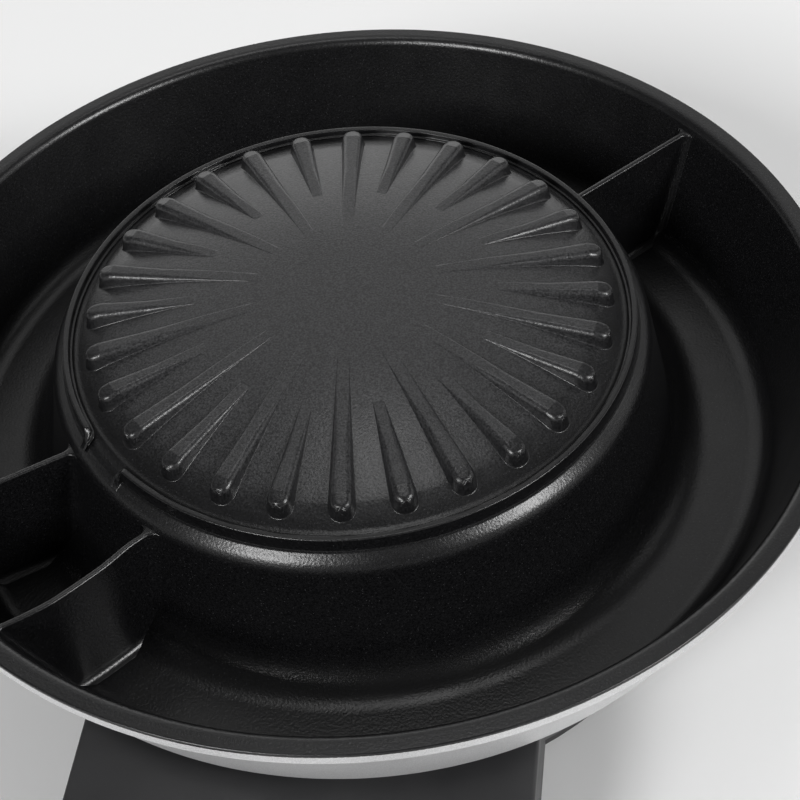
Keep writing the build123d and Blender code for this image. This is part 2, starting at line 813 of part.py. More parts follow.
def base_shell():
    """Moulded shell: round tub, control box and inlet land, open below."""
    low = cover_top
    outer = tub(0, low, shell_top) + control_box(0, low) + inlet_land(0, low)
    top_edges = outer.edges().group_by(Axis.Z)[-1]
    outer = fillet(top_edges, shell_top_round)
    cavity_low = low - overrun
    cavity = tub(shell_wall, cavity_low, shell_top - shell_wall)
    cavity += control_box(shell_wall, cavity_low) + inlet_land(shell_wall, cavity_low)
    pocket_wall = extrude(panel_plane * Rectangle(panel_width + shell_wall * 2,
                                                  panel_height + shell_wall),
                          -(panel_thickness + shell_wall))
    cavity -= pocket_wall
    for place in box_boss_places():
        cavity -= rod(place, box_boss_radius, low, low + box_boss_height)
    for across, height in inlet_screw_places():
        boss = Plane(origin=(across, inlet_land_reach, height), z_dir=(0, -1, 0))
        cavity -= extrude(boss * Circle(inlet_boss_radius), inlet_boss_length)
    shell = outer - cavity
    shell -= disc(ledge_inner_radius, shell_top - shell_wall - overrun, shell_top + overrun)
    pocket = RectangleRounded(panel_width, panel_height, panel_corner)
    shell -= extrude(panel_plane * pocket, -panel_thickness)
    for x in (-knob_spacing / 2, knob_spacing / 2):
        hole = panel_plane * (Pos(x, 0) * Circle(bushing_hole))
        shell -= extrude(hole, -(panel_thickness + shell_wall + overrun))
    for x in (-lamp_spacing / 2, lamp_spacing / 2):
        hole = panel_plane * (Pos(x, 0) * Circle(lens_radius + screw_clearance))
        shell -= extrude(hole, -(panel_thickness + shell_wall + overrun))
    for place in box_boss_places():
        shell -= rod(place, small_screw_radius + screw_fit, low - overrun,
                     low + small_screw_length)
    window = Plane(origin=(0, inlet_land_reach + overrun, inlet_height), x_dir=(1, 0, 0),
                   z_dir=(0, -1, 0))
    opening = Rectangle(inlet_body_width + inlet_fit * 2, inlet_body_height + inlet_fit * 2)
    shell -= extrude(window * opening, shell_wall + overrun * 2)
    for across, height in inlet_screw_places():
        bore = Plane(origin=(across, inlet_land_reach + overrun, height), z_dir=(0, -1, 0))
        shell -= extrude(bore * Circle(small_screw_radius + screw_fit),
                         small_screw_length + overrun)
    return shell


def control_panel():
    """Thin plate in the pocket of the control box, with holes for shafts and lamps."""
    outline = RectangleRounded(panel_width - panel_gap * 2, panel_height - panel_gap * 2,
                               panel_corner - panel_gap)
    for x in (-knob_spacing / 2, knob_spacing / 2):
        outline -= Pos(x, 0) * Circle(bushing_hole)
    for x in (-lamp_spacing / 2, lamp_spacing / 2):
        outline -= Pos(x, 0) * Circle(lens_radius + screw_clearance)
    return extrude(panel_plane * outline, -panel_thickness)


# Bottom cover


def cover_outline(inset):
    """Plan of the cover: round body, control box and inlet land, moved in by an inset."""
    box = Pos(0, -(box_reach - inset) / 2) * Rectangle(box_width - inset * 2, box_reach - inset)
    front = box.vertices().group_by(Axis.Y)[0]
    box = fillet(front, box_corner - inset)
    land = Pos(0, (inlet_land_reach - inset) / 2) * Rectangle(inlet_land_width - inset * 2,
                                                              inlet_land_reach - inset)
    back = land.vertices().group_by(Axis.Y)[-1]
    land = fillet(back, max(inlet_corner - inset, inlet_land_inner_round))
    return Circle(shell_foot_radius - inset) + box + land


def foot_places():
    """Plan places of the four rubber feet."""
    return [polar(foot_circle_radius, angle) for angle in foot_angles]


def bottom_cover():
    """Cover with locating rim, hollow pillars, foot bosses and a ring of vents."""
    plate = Pos(0, 0, foot_height) * extrude(cover_outline(0), cover_thickness)
    rim_inset = shell_wall + cover_fit
    rim = cover_outline(rim_inset) - cover_outline(rim_inset + cover_rim_wall)
    cover = plate + Pos(0, 0, cover_top) * extrude(rim, cover_rim_height)
    for place in box_boss_places():
        cover -= rod(place, box_boss_radius + cover_fit, cover_top, cover_top + cover_rim_height)
        cover -= rod(place, small_screw_radius + screw_clearance, 0, cover_top + overrun)
    for angle in pillar_angles:
        place = polar(boss_screw_radius, angle)
        cover += rod(place, pillar_foot_radius, cover_top - overrun,
                     cover_top + pillar_foot_height)
        cover += rod(place, pillar_radius, cover_top, floor_bottom - boss_drop)
        cover -= rod(place, pan_screw_radius + screw_clearance, 0, rim_height)
        cover -= rod(place, pan_screw_head + screw_clearance, 0, foot_height + counterbore_depth)
    for place in foot_places():
        cover += rod(place, cover_boss_radius, cover_top - overrun,
                     cover_top + cover_boss_height)
        cover -= rod(place, small_screw_radius + screw_fit, 0, foot_height + small_screw_length)
    slot_length = vent_outer_radius - vent_inner_radius
    slot = Pos((vent_inner_radius + vent_outer_radius) / 2, 0) * SlotOverall(slot_length, vent_width)
    vents = [Rot(0, 0, turn * 360 / vent_count) * slot for turn in range(vent_count)]
    for vent in vents:
        cover -= Pos(0, 0, foot_height - overrun) * extrude(vent, cover_thickness + overrun * 2)
    middle = (vent_inner_radius + vent_outer_radius) / 2
    cover += tube(middle - vent_rib / 2, middle + vent_rib / 2, foot_height, cover_top)
    return cover


def pan_gasket():
    """Silicone ring between the shell's ledge and the pan."""
    return tube(gasket_inner_radius, gasket_outer_radius, shell_top, floor_bottom)


def rubber_feet():
    """Four tapered feet, each with a bore for its screw."""
    feet = []
    for place in foot_places():
        section = Polyline((rubber_foot_bore, 0), (rubber_foot_radius - rubber_foot_taper, 0),
                           (rubber_foot_radius, foot_height),
                           (small_screw_radius + screw_clearance, foot_height),
                           (small_screw_radius + screw_clearance, foot_height - rubber_foot_web),
                           (rubber_foot_bore, foot_height - rubber_foot_web), close=True)
        feet.append(Pos(*place, 0) * spun(make_face(section)))
    return group(feet)


# Fasteners


def foot_screws():
    """Screws up through the feet into the cover."""
    piece = screw(small_screw_radius, small_screw_head, small_screw_head_height,
                  small_screw_length)
    level = foot_height - rubber_foot_web
    return group([Pos(*place, level) * piece for place in foot_places()])


def pan_screws():
    """Long screws up through the pillars into the pan."""
    level = foot_height + counterbore_depth
    length = floor_bottom - boss_drop + boss_hole_depth - screw_clearance - level
    piece = screw(pan_screw_radius, pan_screw_head, pan_screw_head_height, length)
    places = [polar(boss_screw_radius, angle) for angle in pillar_angles]
    return group([Pos(*place, level) * piece for place in places])


def cover_screws():
    """Two screws up through the cover into the control box."""
    piece = screw(small_screw_radius, small_screw_head, small_screw_head_height,
                  small_screw_length)
    return group([Pos(*place, foot_height) * piece for place in box_boss_places()])


def clip_screws():
    """Screws of the heater clips and of the fuse strap."""
    piece = screw(small_screw_radius, small_screw_head, small_screw_head_height,
                  clip_screw_length)
    places = [(polar(pot_heater_ring - clip_boss_offset, angle), floor_bottom)
              for angle in pot_clip_angles]
    places += [(polar(grill_heater_ring - clip_boss_offset, angle), grill_seat)
               for angle in grill_clip_angles]
    places.append((fuse_place, floor_bottom))
    level = -guide_height - clip_thickness
    return group([Pos(*place, seat + level) * piece for place, seat in places])


# Handles


def handle():
    """Bakelite loop towards +X, its root socketed over the pan's lug."""
    root = rim_radius + handle_standoff
    end = rim_radius + handle_reach
    window_start = root + handle_root
    window_end = end - handle_grip
    top = lug_top + (handle_thickness - lug_thickness) / 2
    outline = Pos((root + end) / 2, 0) * Rectangle(end - root, handle_width)
    outline = fillet(outline.vertices().group_by(Axis.X)[-1], handle_corner)
    outline = fillet(outline.vertices().group_by(Axis.X)[0], handle_round)
    body = Pos(0, 0, top - handle_thickness) * extrude(outline, handle_thickness)
    window = Pos((window_start + window_end) / 2, 0) * RectangleRounded(
        window_end - window_start, handle_window_width, handle_window_corner)
    body -= Pos(0, 0, top - handle_thickness - overrun) * extrude(
        window, handle_thickness + overrun * 2)
    faces = body.faces().filter_by(Axis.Z)
    body = fillet(faces.edges(), handle_round)
    socket_length = lug_reach + handle_fit - root
    socket = Pos(root + socket_length / 2 - overrun, 0) * Rectangle(
        socket_length + overrun * 2, lug_width + handle_fit * 2)
    body -= Pos(0, 0, lug_top - lug_thickness - handle_fit) * extrude(
        socket, lug_thickness + handle_fit * 2)
    for offset in (-handle_screw_spacing / 2, handle_screw_spacing / 2):
        body -= rod((handle_screw_place(), offset), handle_screw_radius + screw_clearance,
                    lug_top - handle_thickness * 2, lug_top - lug_thickness)
    return body


def handle_screws():
    """Two screws for each handle, up through it into the lug."""
    level = lug_top - (handle_thickness + lug_thickness) / 2
    length = handle_thickness / 2
    piece = screw(handle_screw_radius, handle_screw_head, handle_screw_head_height, length)
    pieces = []
    for turn in (0, 180):
        for offset in (-handle_screw_spacing / 2, handle_screw_spacing / 2):
            pieces.append(Rot(0, 0, turn) * (Pos(handle_screw_place(), offset, level) * piece))
    return group(pieces)


# Heaters


def heater(ring, seat, opening, leg):
    """Tubular heater: an open ring whose ends bend down to sealed terminals with pins."""
    height = seat - heater_gap - heater_radius
    start = -90 + opening / 2
    sweep_angle = 360 - opening
    path = [Pos(0, 0, height) * Edge.make_circle(ring, start_angle=start,
                                                 end_angle=start + sweep_angle)]
    ends = []
    for angle, along in ((start, -1), (start + sweep_angle, 1)):
        x, y = polar(ring, angle)
        tangent = Vector(*polar(along, angle + 90))
        first = Vector(x, y, height)
        centre = first - Vector(0, 0, heater_bend)
        middle = centre + (tangent + Vector(0, 0, 1)) * (heater_bend * math.sqrt(0.5))
        last = centre + tangent * heater_bend
        foot = last - Vector(0, 0, leg)
        path.append(Edge.make_three_point_arc(first, middle, last))
        path.append(Edge.make_line(last, foot))
        ends.append(foot)
    route = Wire(path)
    section = Plane(origin=route @ 0, z_dir=route % 0) * Circle(heater_radius)
    body = sweep(section, path=route)
    for foot in ends:
        seal_low = foot.Z - heater_seal_length
        pin_low = seal_low - heater_pin_length
        body += rod((foot.X, foot.Y), heater_seal_radius, seal_low, foot.Z + overrun)
        body += rod((foot.X, foot.Y), heater_pin_radius, pin_low, seal_low + overrun)
    return body


def heater_pins(ring, seat, opening, leg):
    """Lower ends of the two pins of a heater."""
    height = seat - heater_gap - heater_radius - heater_bend - leg
    height -= heater_seal_length + heater_pin_length
    places = []
    for side in (-1, 1):
        angle = -90 + side * opening / 2
        x, y = polar(ring, angle)
        shift = polar(heater_bend, angle - side * 90)
        places.append(Vector(x + shift[0], y + shift[1], height))
    return places


def clips(ring, angles, seat):
    """Flat straps across the guides, each screwed to its boss."""
    inner = ring - clip_boss_offset - clip_boss_radius
    outer = ring + heater_radius + heater_gap + guide_wall - clip_overhang
    level = seat - guide_height - clip_thickness
    pieces = []
    for angle in angles:
        strap = Pos((inner + outer) / 2, 0) * RectangleRounded(outer - inner, clip_width,
                                                               clip_overhang)
        strap -= Pos(ring - clip_boss_offset, 0) * Circle(small_screw_radius + screw_clearance)
        pieces.append(Pos(0, 0, level) * (Rot(0, 0, angle) * extrude(strap, clip_thickness)))
    return group(pieces)


def heat_shield():
    """Sheet dish on the pillars' shoulders, with a stiffening bead and a notch for the leads."""
    level = cover_top + pillar_foot_height
    bead = shield_bead_width / 2
    top = [(0, level + shield_thickness),
           (shield_bead_radius - bead - shield_thickness, level + shield_thickness),
           (shield_bead_radius - bead / 2, level + shield_thickness + shield_bead_height),
           (shield_bead_radius + bead / 2, level + shield_thickness + shield_bead_height),
           (shield_bead_radius + bead + shield_thickness, level + shield_thickness),
           (shield_radius - shield_thickness * 2, level + shield_thickness),
           (shield_radius - shield_thickness, level + shield_rim)]
    bottom = [(shield_radius, level + shield_rim),
              (shield_radius - shield_thickness, level),
              (shield_bead_radius + bead, level),
              (shield_bead_radius + bead / 2 - shield_thickness, level + shield_bead_height),
              (shield_bead_radius - bead / 2 + shield_thickness, level + shield_bead_height),
              (shield_bead_radius - bead, level),
              (0, level)]
    dish = spun(make_face(Polyline(*top, *bottom, close=True)))
    for angle in pillar_angles:
        dish -= rod(polar(boss_screw_radius, angle), pillar_radius + shield_fit, 0, rim_height)
    notch = Pos(0, -(shield_notch_start + shield_radius)) * RectangleRounded(
        shield_notch_width, shield_radius * 2, shield_rim)
    return dish - extrude(notch, rim_height)


# Thermostats, shafts and knobs


def on_panel(shape, side):
    """Shape drawn about a shaft's axis, set on the panel at one side."""
    return panel_plane.location * (Pos(side * knob_spacing / 2, 0, 0) * shape)


wall_depth = panel_thickness + shell_wall


def thermostat():
    """Capillary thermostat behind the panel: sheet body, bushing and two tabs."""
    back = -wall_depth - thermostat_depth
    body = Pos(0, 0, back) * extrude(Rectangle(thermostat_width, thermostat_height),
                                     thermostat_depth)
    body = fillet(body.edges().filter_by(Axis.Z), thermostat_edge)
    body += Pos(0, 0, back) * extrude(Circle(bushing_radius), -back + bushing_length)
    body -= Pos(0, 0, -wall_depth - shaft_inner_length) * extrude(
        Circle(shaft_radius + shaft_fit), wall_depth + shaft_inner_length + bushing_length)
    for x in (-tab_spacing / 2, tab_spacing / 2):
        tab = Pos(x, 0, back - tab_length) * extrude(Rectangle(tab_width, tab_thickness),
                                                     tab_length + overrun)
        body += tab
    return body


def shaft():
    """Turning shaft with a flat for the knob."""
    low = -wall_depth - shaft_inner_length + screw_clearance
    bar = Pos(0, 0, low) * extrude(Circle(shaft_radius), shaft_length - low)
    flat = Pos(0, shaft_flat + shaft_radius, shaft_length - shaft_flat_length) * extrude(
        Rectangle(shaft_radius * 2, shaft_radius * 2), shaft_flat_length + overrun)
    return bar - flat


def knob():
    """Fluted knob with a skirt, a pointer groove and a bore with a flat."""
    top = knob_gap + knob_height
    body = Pos(0, 0, knob_gap) * extrude(Circle(knob_radius), knob_height, taper=knob_taper)
    body = fillet(body.edges().group_by(Axis.Z)[-1], knob_edge_round)
    flute = Circle(knob_flute_radius)
    flutes = []
    for index in range(knob_flute_count):
        place = polar(knob_radius + knob_flute_offset,
                      (index + middle_share) * 360 / knob_flute_count)
        flutes.append(Pos(place[0], place[1], knob_gap + knob_skirt_height) * extrude(
            flute, knob_height))
    body -= flutes
    skirt = Pos(0, 0, knob_gap) * extrude(Circle(knob_skirt_radius), knob_skirt_height)
    skirt = chamfer(skirt.edges().group_by(Axis.Z)[-1], knob_skirt_chamfer)
    body += skirt
    body -= Pos(0, 0, knob_gap - overrun) * extrude(Circle(knob_cavity_radius),
                                                    knob_cavity_height + overrun)
    bore = Circle(shaft_radius + shaft_fit)
    bore -= Pos(0, shaft_flat + shaft_fit + shaft_radius) * Rectangle(shaft_radius * 2,
                                                                      shaft_radius * 2)
    body -= Pos(0, 0, knob_gap + knob_cavity_height - overrun) * extrude(
        bore, shaft_length + overrun * 2 - knob_gap - knob_cavity_height)
    groove = Pos(0, knob_radius / 2, top - knob_pointer_depth) * extrude(
        Rectangle(knob_pointer_width, knob_radius), knob_pointer_depth + overrun)
    return body - groove


def thermostat_nuts():
    """Hexagon nuts that clamp the thermostats on the panel."""
    outline = RegularPolygon(nut_flats / 2, 6, major_radius=False)
    outline -= Circle(bushing_radius + screw_fit)
    nut = extrude(outline, nut_height)
    return group([on_panel(nut, side) for side in (-1, 1)])


def lamp_lenses():
    """Domed lenses in the panel, one for each heater."""
    lens = Pos(0, 0, -wall_depth) * extrude(Circle(lens_radius),
                                            wall_depth + lens_flange_height + lens_dome_height)
    lens = fillet(lens.edges().group_by(Axis.Z)[-1], lens_dome_height * lens_dome_share)
    lens += extrude(Circle(lens_flange_radius), lens_flange_height)
    places = [Pos(side * lamp_spacing / 2, 0, 0) for side in (-1, 1)]
    return group([panel_plane.location * (place * lens) for place in places])


def lamp_bodies():
    """Neon lamp holders behind the lenses, seated on the box's wall."""
    holder = Pos(0, 0, -wall_depth - lamp_body_length) * extrude(Circle(lamp_body_radius),
                                                                 lamp_body_length)
    holder = chamfer(holder.edges().group_by(Axis.Z)[0], lamp_body_chamfer)
    places = [Pos(side * lamp_spacing / 2, 0, 0) for side in (-1, 1)]
    return group([panel_plane.location * (place * holder) for place in places])


# Sensors


def run(points, radius, bend):
    """Round tube along straight runs joined by tangent arcs."""
    path = FilletPolyline(*points, radius=bend)
    section = Plane(origin=path @ 0, z_dir=path % 0) * Circle(radius)
    return sweep(section, path=path)


def panel_point(across, along, depth):
    """Point behind the panel, from places across and up it and a depth behind its face."""
    return panel_centre + Vector(across, 0, 0) + panel_rise * along - panel_normal * depth


def sensor(place, pocket_end, side, level):
    """Thermostat bulb in its pocket of the pan, with the capillary tube to the thermostat."""
    bulb_top = pocket_end - bulb_fit
    bulb_low = bulb_top - bulb_length
    bulb = rod(place, bulb_radius, bulb_low, bulb_top)
    bulb = fillet(bulb.edges().sort_by(Axis.Z)[-1], bulb_round)
    back = wall_depth + thermostat_depth
    end = panel_point(side * knob_spacing / 2, capillary_lift, back)
    away = panel_point(side * knob_spacing / 2, capillary_lift, back + capillary_exit)
    points = [Vector(place[0], place[1], bulb_low), Vector(place[0], place[1], level),
              Vector(away.X, away.Y + capillary_turn, level), away, end]
    return bulb + run(points, capillary_radius, capillary_bend)


def grill_sensor():
    """Sensor of the grill plate."""
    return sensor(grill_bulb_place, grill_pocket_end, -1, grill_sensor_level)


def pot_sensor():
    """Sensor of the moat."""
    return sensor(pot_bulb_place, pot_pocket_end, 1, pot_sensor_level)


# Fuse, terminal block and inlet


def thermal_fuse():
    """One-shot fuse in a sleeve, held by a strap on its boss below the moat."""
    level = floor_bottom - guide_height
    strap = Pos(*fuse_place) * (Rot(0, 0, fuse_angle + 90) * RectangleRounded(
        fuse_length + clip_boss_radius * 2, clip_width, clip_overhang))
    strap -= Pos(*fuse_place) * Circle(small_screw_radius + screw_clearance)
    plate = Pos(0, 0, level - clip_thickness) * extrude(strap, clip_thickness)
    barrel = Plane(origin=(*fuse_place, level + fuse_radius), z_dir=(1, 0, 0))
    turn = Rot(0, 0, fuse_angle + 90)
    sleeve = extrude(Circle(fuse_radius), fuse_length / 2 - clip_boss_radius)
    sleeves = []
    for side in (0, 180):
        place = Pos(*fuse_place, level + fuse_radius - sleeve_sink)
        body = Pos(clip_boss_radius + heater_gap, 0, 0) * (Plane.YZ * sleeve)
        sleeves.append(place * (turn * (Rot(0, 0, side) * body)))
    return plate + sleeves


def terminal_block():
    """Stepped ceramic block on the cover, with a screw well over each way."""
    y = -block_back
    body = Pos(0, y, cover_top) * extrude(Rectangle(block_length, block_depth), block_height)
    step = Rectangle(block_length - block_step * 2, block_depth / 2)
    body += Pos(0, y, cover_top) * extrude(step, block_height + block_step)
    for index in range(block_ways):
        for side in (-1, 1):
            place = (block_way(index), y + side * (block_depth / 2 - block_well_inset))
            body -= rod(place, block_well_radius, cover_top + block_height - block_well_depth,
                        cover_top + block_height + overrun)
    return body


def inlet_outline(width, height, cut):
    """Plan of the appliance inlet: a rectangle with two corners cut off."""
    shape = Rectangle(width, height)
    return chamfer(shape.vertices().group_by(Axis.Y)[-1], cut)


def inlet_plane(offset):
    """Plane square to the inlet's axis, looking out of the back, at an offset from the land."""
    return Plane(origin=(0, inlet_land_reach + offset, inlet_height), x_dir=(-1, 0, 0),
                 z_dir=(0, 1, 0))


def pin_places():
    """Places of the three inlet pins across the inlet's axis."""
    return [(-inlet_pin_spacing / 2, -inlet_pin_offset / 2),
            (inlet_pin_spacing / 2, -inlet_pin_offset / 2), (0, inlet_pin_offset / 2)]


def power_inlet():
    """Moulded inlet with a flange outside the land and a socket for the supply plug."""
    flange = RectangleRounded(inlet_flange_width, inlet_flange_height, inlet_corner)
    body = extrude(inlet_plane(0) * flange, inlet_flange_thickness)
    block = Rectangle(inlet_body_width, inlet_body_height)
    body += extrude(inlet_plane(0) * block, -inlet_body_depth)
    socket = inlet_outline(inlet_body_width - inlet_wall * 2, inlet_body_height - inlet_wall * 2,
                           inlet_chamfer)
    body -= extrude(inlet_plane(inlet_flange_thickness) * socket, -inlet_socket_depth)
    for x in (-inlet_screw_spacing / 2, inlet_screw_spacing / 2):
        hole = Pos(x, 0) * Circle(small_screw_radius + screw_clearance)
        body -= extrude(inlet_plane(-overrun) * hole, inlet_flange_thickness + overrun * 2)
    for place in pin_places():
        slot = Pos(*place) * Rectangle(inlet_pin_thickness + screw_fit * 2,
                                       inlet_pin_width + screw_fit * 2)
        body -= extrude(inlet_plane(-inlet_body_depth - overrun) * slot,
                        inlet_body_depth + overrun)
    return body


def inlet_pins():
    """Three flat pins with their tabs inside the base."""
    mouth = inlet_flange_thickness - inlet_socket_depth
    start = -inlet_body_depth - inlet_tab_length
    pins = []
    for place in pin_places():
        blade = Pos(*place) * Rectangle(inlet_pin_thickness, inlet_pin_width)
        pins.append(extrude(inlet_plane(start) * blade, mouth + inlet_pin_length - start))
    return group(pins)


def inlet_screws():
    """Two screws through the inlet's flange into the land's bosses."""
    piece = screw(small_screw_radius, small_screw_head, small_screw_head_height,
                  small_screw_length)
    pieces = []
    for x in (-inlet_screw_spacing / 2, inlet_screw_spacing / 2):
        plane = Plane(origin=(x, inlet_land_reach + inlet_flange_thickness, inlet_height),
                      z_dir=(0, -1, 0))
        pieces.append(plane.location * piece)
    return group(pieces)


# Wiring


block_front = -block_back - block_depth / 2
block_rear = -block_back + block_depth / 2
pot_pins = heater_pins(pot_heater_ring, floor_bottom, pot_heater_open, pot_heater_leg)
grill_pins = heater_pins(grill_heater_ring, grill_seat, grill_heater_open, grill_heater_leg)
inlet_tab_end = inlet_land_reach - inlet_body_depth - inlet_tab_length


def block_way(index):
    """Distance across of one way of the terminal block."""
    return (index - (block_ways - 1) / 2) * block_pitch


def supply_lead(side):
    """Lead from one inlet pin forward under the heat shield to the terminal block."""
    x = side * inlet_pin_spacing / 2
    z = inlet_height - inlet_pin_offset / 2
    lane = side * supply_lane
    return [(x, inlet_tab_end, z), (x, inlet_tab_end - lead_end, z),
            (lane, inlet_tab_end - supply_drop, supply_level), (lane, block_rear, supply_level)]


def tab_run(across):
    """Last two points of a lead that runs up to a thermostat's tab."""
    back = wall_depth + thermostat_depth + tab_length
    end = panel_point(across, 0, back)
    before = panel_point(across, 0, back + lead_end)
    return [before, end]


def link_lead(side):
    """Lead from the front of the terminal block to a thermostat's tab."""
    start = side * block_pitch / 2
    across = -side * tab_spacing / 2 + side * knob_spacing / 2
    if side < 0:
        across = -knob_spacing / 2 - tab_spacing / 2
    return [(start, block_front, link_level), (start, -link_lane, link_level),
            (across, -link_lane, link_level)] + tab_run(across)


def grill_pin_start(pin):
    """First points of a lead from a grill heater's pin, over the shield and down its notch."""
    return [(pin.X, pin.Y, pin.Z), (pin.X, pin.Y, grill_lead_over),
            (pin.X, -grill_lead_front, grill_lead_over), (pin.X, -grill_lead_front, supply_level)]


def wiring():
    """Insulated leads between the inlet, the block, the heaters, the fuse and the lamps."""
    routes = [supply_lead(-1), supply_lead(1), link_lead(-1), link_lead(1)]
    left_pot, right_pot = pot_pins
    left_grill, right_grill = grill_pins
    turn_y = block_rear + lead_end + lead_bend
    routes.append(grill_pin_start(left_grill) + [(-grill_lead_lane, turn_y, supply_level)]
                  + tab_run(-grill_lead_lane))
    way = block_way(block_ways - 1)
    routes.append(grill_pin_start(right_grill) + [(way, turn_y, supply_level),
                                                  (way, block_rear, supply_level)])
    across = knob_spacing / 2 + tab_spacing / 2
    routes.append([(right_pot.X, right_pot.Y, right_pot.Z),
                   (right_pot.X, right_pot.Y, pot_lead_level),
                   (across, -link_lane, pot_lead_level)] + tab_run(across))
    fuse_z = floor_bottom - guide_height + fuse_radius
    fuse_end = clip_boss_radius + heater_gap + fuse_length / 2 - clip_boss_radius
    fuse_y = -fuse_circle_radius
    routes.append([(-fuse_end, fuse_y, fuse_z), (-fuse_lead_lane, fuse_y, fuse_z),
                   (-fuse_lead_lane, fuse_y, fuse_lead_level),
                   (left_pot.X, left_pot.Y, fuse_lead_level), (left_pot.X, left_pot.Y, left_pot.Z)])
    routes.append([(fuse_end, fuse_y, fuse_z), (fuse_lead_lane, fuse_y, fuse_z),
                   (fuse_lead_lane, fuse_y, fuse_lead_level),
                   (fuse_lead_lane, block_rear, fuse_lead_level)])
    for side in (-1, 1):
        across = side * lamp_spacing / 2
        start = panel_point(across, 0, wall_depth + lamp_body_length)
        before = panel_point(across, 0, wall_depth + lamp_body_length + lead_end)
        way = side * abs(block_way(0))
        routes.append([start, before, (way, -link_lane, lamp_lead_level),
                       (way, block_front, lamp_lead_level)])
    return group([run(route, lead_radius, lead_bend) for route in routes])


def earth_lead():
    """Lead from the earth pin out past the shield's edge to a heater clip on the pan."""
    z = inlet_height + inlet_pin_offset / 2
    x, y = polar(earth_radius, pot_clip_angles[1])
    top = floor_bottom - guide_height - clip_thickness
    route = [(0, inlet_tab_end, z), (0, inlet_tab_end - lead_end, z),
             (-earth_lane, inlet_tab_end - lead_end, z), (x, y, z), (x, y, top)]
    return run(route, lead_radius, lead_bend)


def main():
    """Builds every piece, centres the footprint on the origin and writes one file for each."""
    pieces = {
        "pan": pan(),
        "base_shell": base_shell(),
        "bottom_cover": bottom_cover(),
        "control_panel": control_panel(),
        "pan_gasket": pan_gasket(),
        "rubber_feet": rubber_feet(),
        "foot_screws": foot_screws(),
        "pan_screws": pan_screws(),
        "cover_screws": cover_screws(),
        "clip_screws": clip_screws(),
        "right_handle": handle(),
        "left_handle": Rot(0, 0, 180) * handle(),
        "handle_screws": handle_screws(),
        "pot_element": heater(pot_heater_ring, floor_bottom, pot_heater_open, pot_heater_leg),
        "grill_element": heater(grill_heater_ring, grill_seat, grill_heater_open,
                                grill_heater_leg),
        "pot_element_clips": clips(pot_heater_ring, pot_clip_angles, floor_bottom),
        "grill_element_clips": clips(grill_heater_ring, grill_clip_angles, grill_seat),
        "heat_shield": heat_shield(),
        "grill_thermostat": on_panel(thermostat(), -1),
        "pot_thermostat": on_panel(thermostat(), 1),
        "grill_shaft": on_panel(shaft(), -1),
        "pot_shaft": on_panel(shaft(), 1),
        "grill_knob": on_panel(knob(), -1),
        "pot_knob": on_panel(knob(), 1),
        "thermostat_nuts": thermostat_nuts(),
        "lamp_lenses": lamp_lenses(),
        "lamp_bodies": lamp_bodies(),
        "grill_sensor": grill_sensor(),
        "pot_sensor": pot_sensor(),
        "thermal_fuse": thermal_fuse(),
        "terminal_block": terminal_block(),
        "power_inlet": power_inlet(),
        "inlet_pins": inlet_pins(),
        "inlet_screws": inlet_screws(),
        "wiring": wiring(),
        "earth_lead": earth_lead(),
    }
    boxes = [shape.bounding_box() for shape in pieces.values()]
    front = min(box.min.Y for box in boxes)
    back = max(box.max.Y for box in boxes)
    shift = Pos(0, -(front + back) / 2, 0)
    os.makedirs("parts", exist_ok=True)
    for name, shape in pieces.items():
        export_step(shift * shape, "parts/" + name + ".step")


if __name__ == "__main__":
    main()
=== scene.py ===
import bmesh
import bpy
import math
import numpy as np
from mathutils import Matrix, Vector


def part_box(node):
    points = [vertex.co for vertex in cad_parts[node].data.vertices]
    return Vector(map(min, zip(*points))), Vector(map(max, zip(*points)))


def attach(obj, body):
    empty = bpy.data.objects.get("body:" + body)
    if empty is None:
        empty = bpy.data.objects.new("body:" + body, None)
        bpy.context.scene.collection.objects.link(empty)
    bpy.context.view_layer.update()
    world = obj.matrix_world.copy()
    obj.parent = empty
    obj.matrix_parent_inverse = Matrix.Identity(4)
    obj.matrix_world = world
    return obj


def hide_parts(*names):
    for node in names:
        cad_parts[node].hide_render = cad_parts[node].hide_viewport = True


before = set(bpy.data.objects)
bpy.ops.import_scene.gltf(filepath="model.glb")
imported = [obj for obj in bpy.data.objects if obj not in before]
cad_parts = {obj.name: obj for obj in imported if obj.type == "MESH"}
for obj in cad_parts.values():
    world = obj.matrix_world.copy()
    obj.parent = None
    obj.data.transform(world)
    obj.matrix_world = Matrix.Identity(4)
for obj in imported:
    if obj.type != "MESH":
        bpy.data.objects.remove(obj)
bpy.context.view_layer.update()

# Electric hot pot. The pan is modelled here as meshes that follow the photographed casting, and
# every other piece is the frame's own, with a finish. Lengths are in millimetres, except in the
# lights, the floor and the textures, which are in metres. Angles are written in degrees, and a
# name set with math.radians holds radians. The pan's shapes are drawn about its upright axis.

MM = 0.001
feet_low, feet_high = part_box("rubber_feet")
pan_low, pan_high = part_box("pan")
panel_low, panel_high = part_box("control_panel")
AXIS_Y = (feet_low.y + feet_high.y) / 2

# Plate
DOME_TOP = pan_high.z / MM
DOME_R = 345.5
MARGIN_Z = 116.4
EDGE_START_R = 84.0
EDGE_TOP_R = 86.5
EDGE_TOP_ROUND = 20.0
EDGE_FOOT_R = 95.2
EDGE_FOOT_ROUND = 5.0
EDGE_END_R = 97.0
RAMP_START_R = 95.8
RAMP_LENGTH = 5.2
RAMP_FOOT_Z = 113.3
SEAM = 0.03

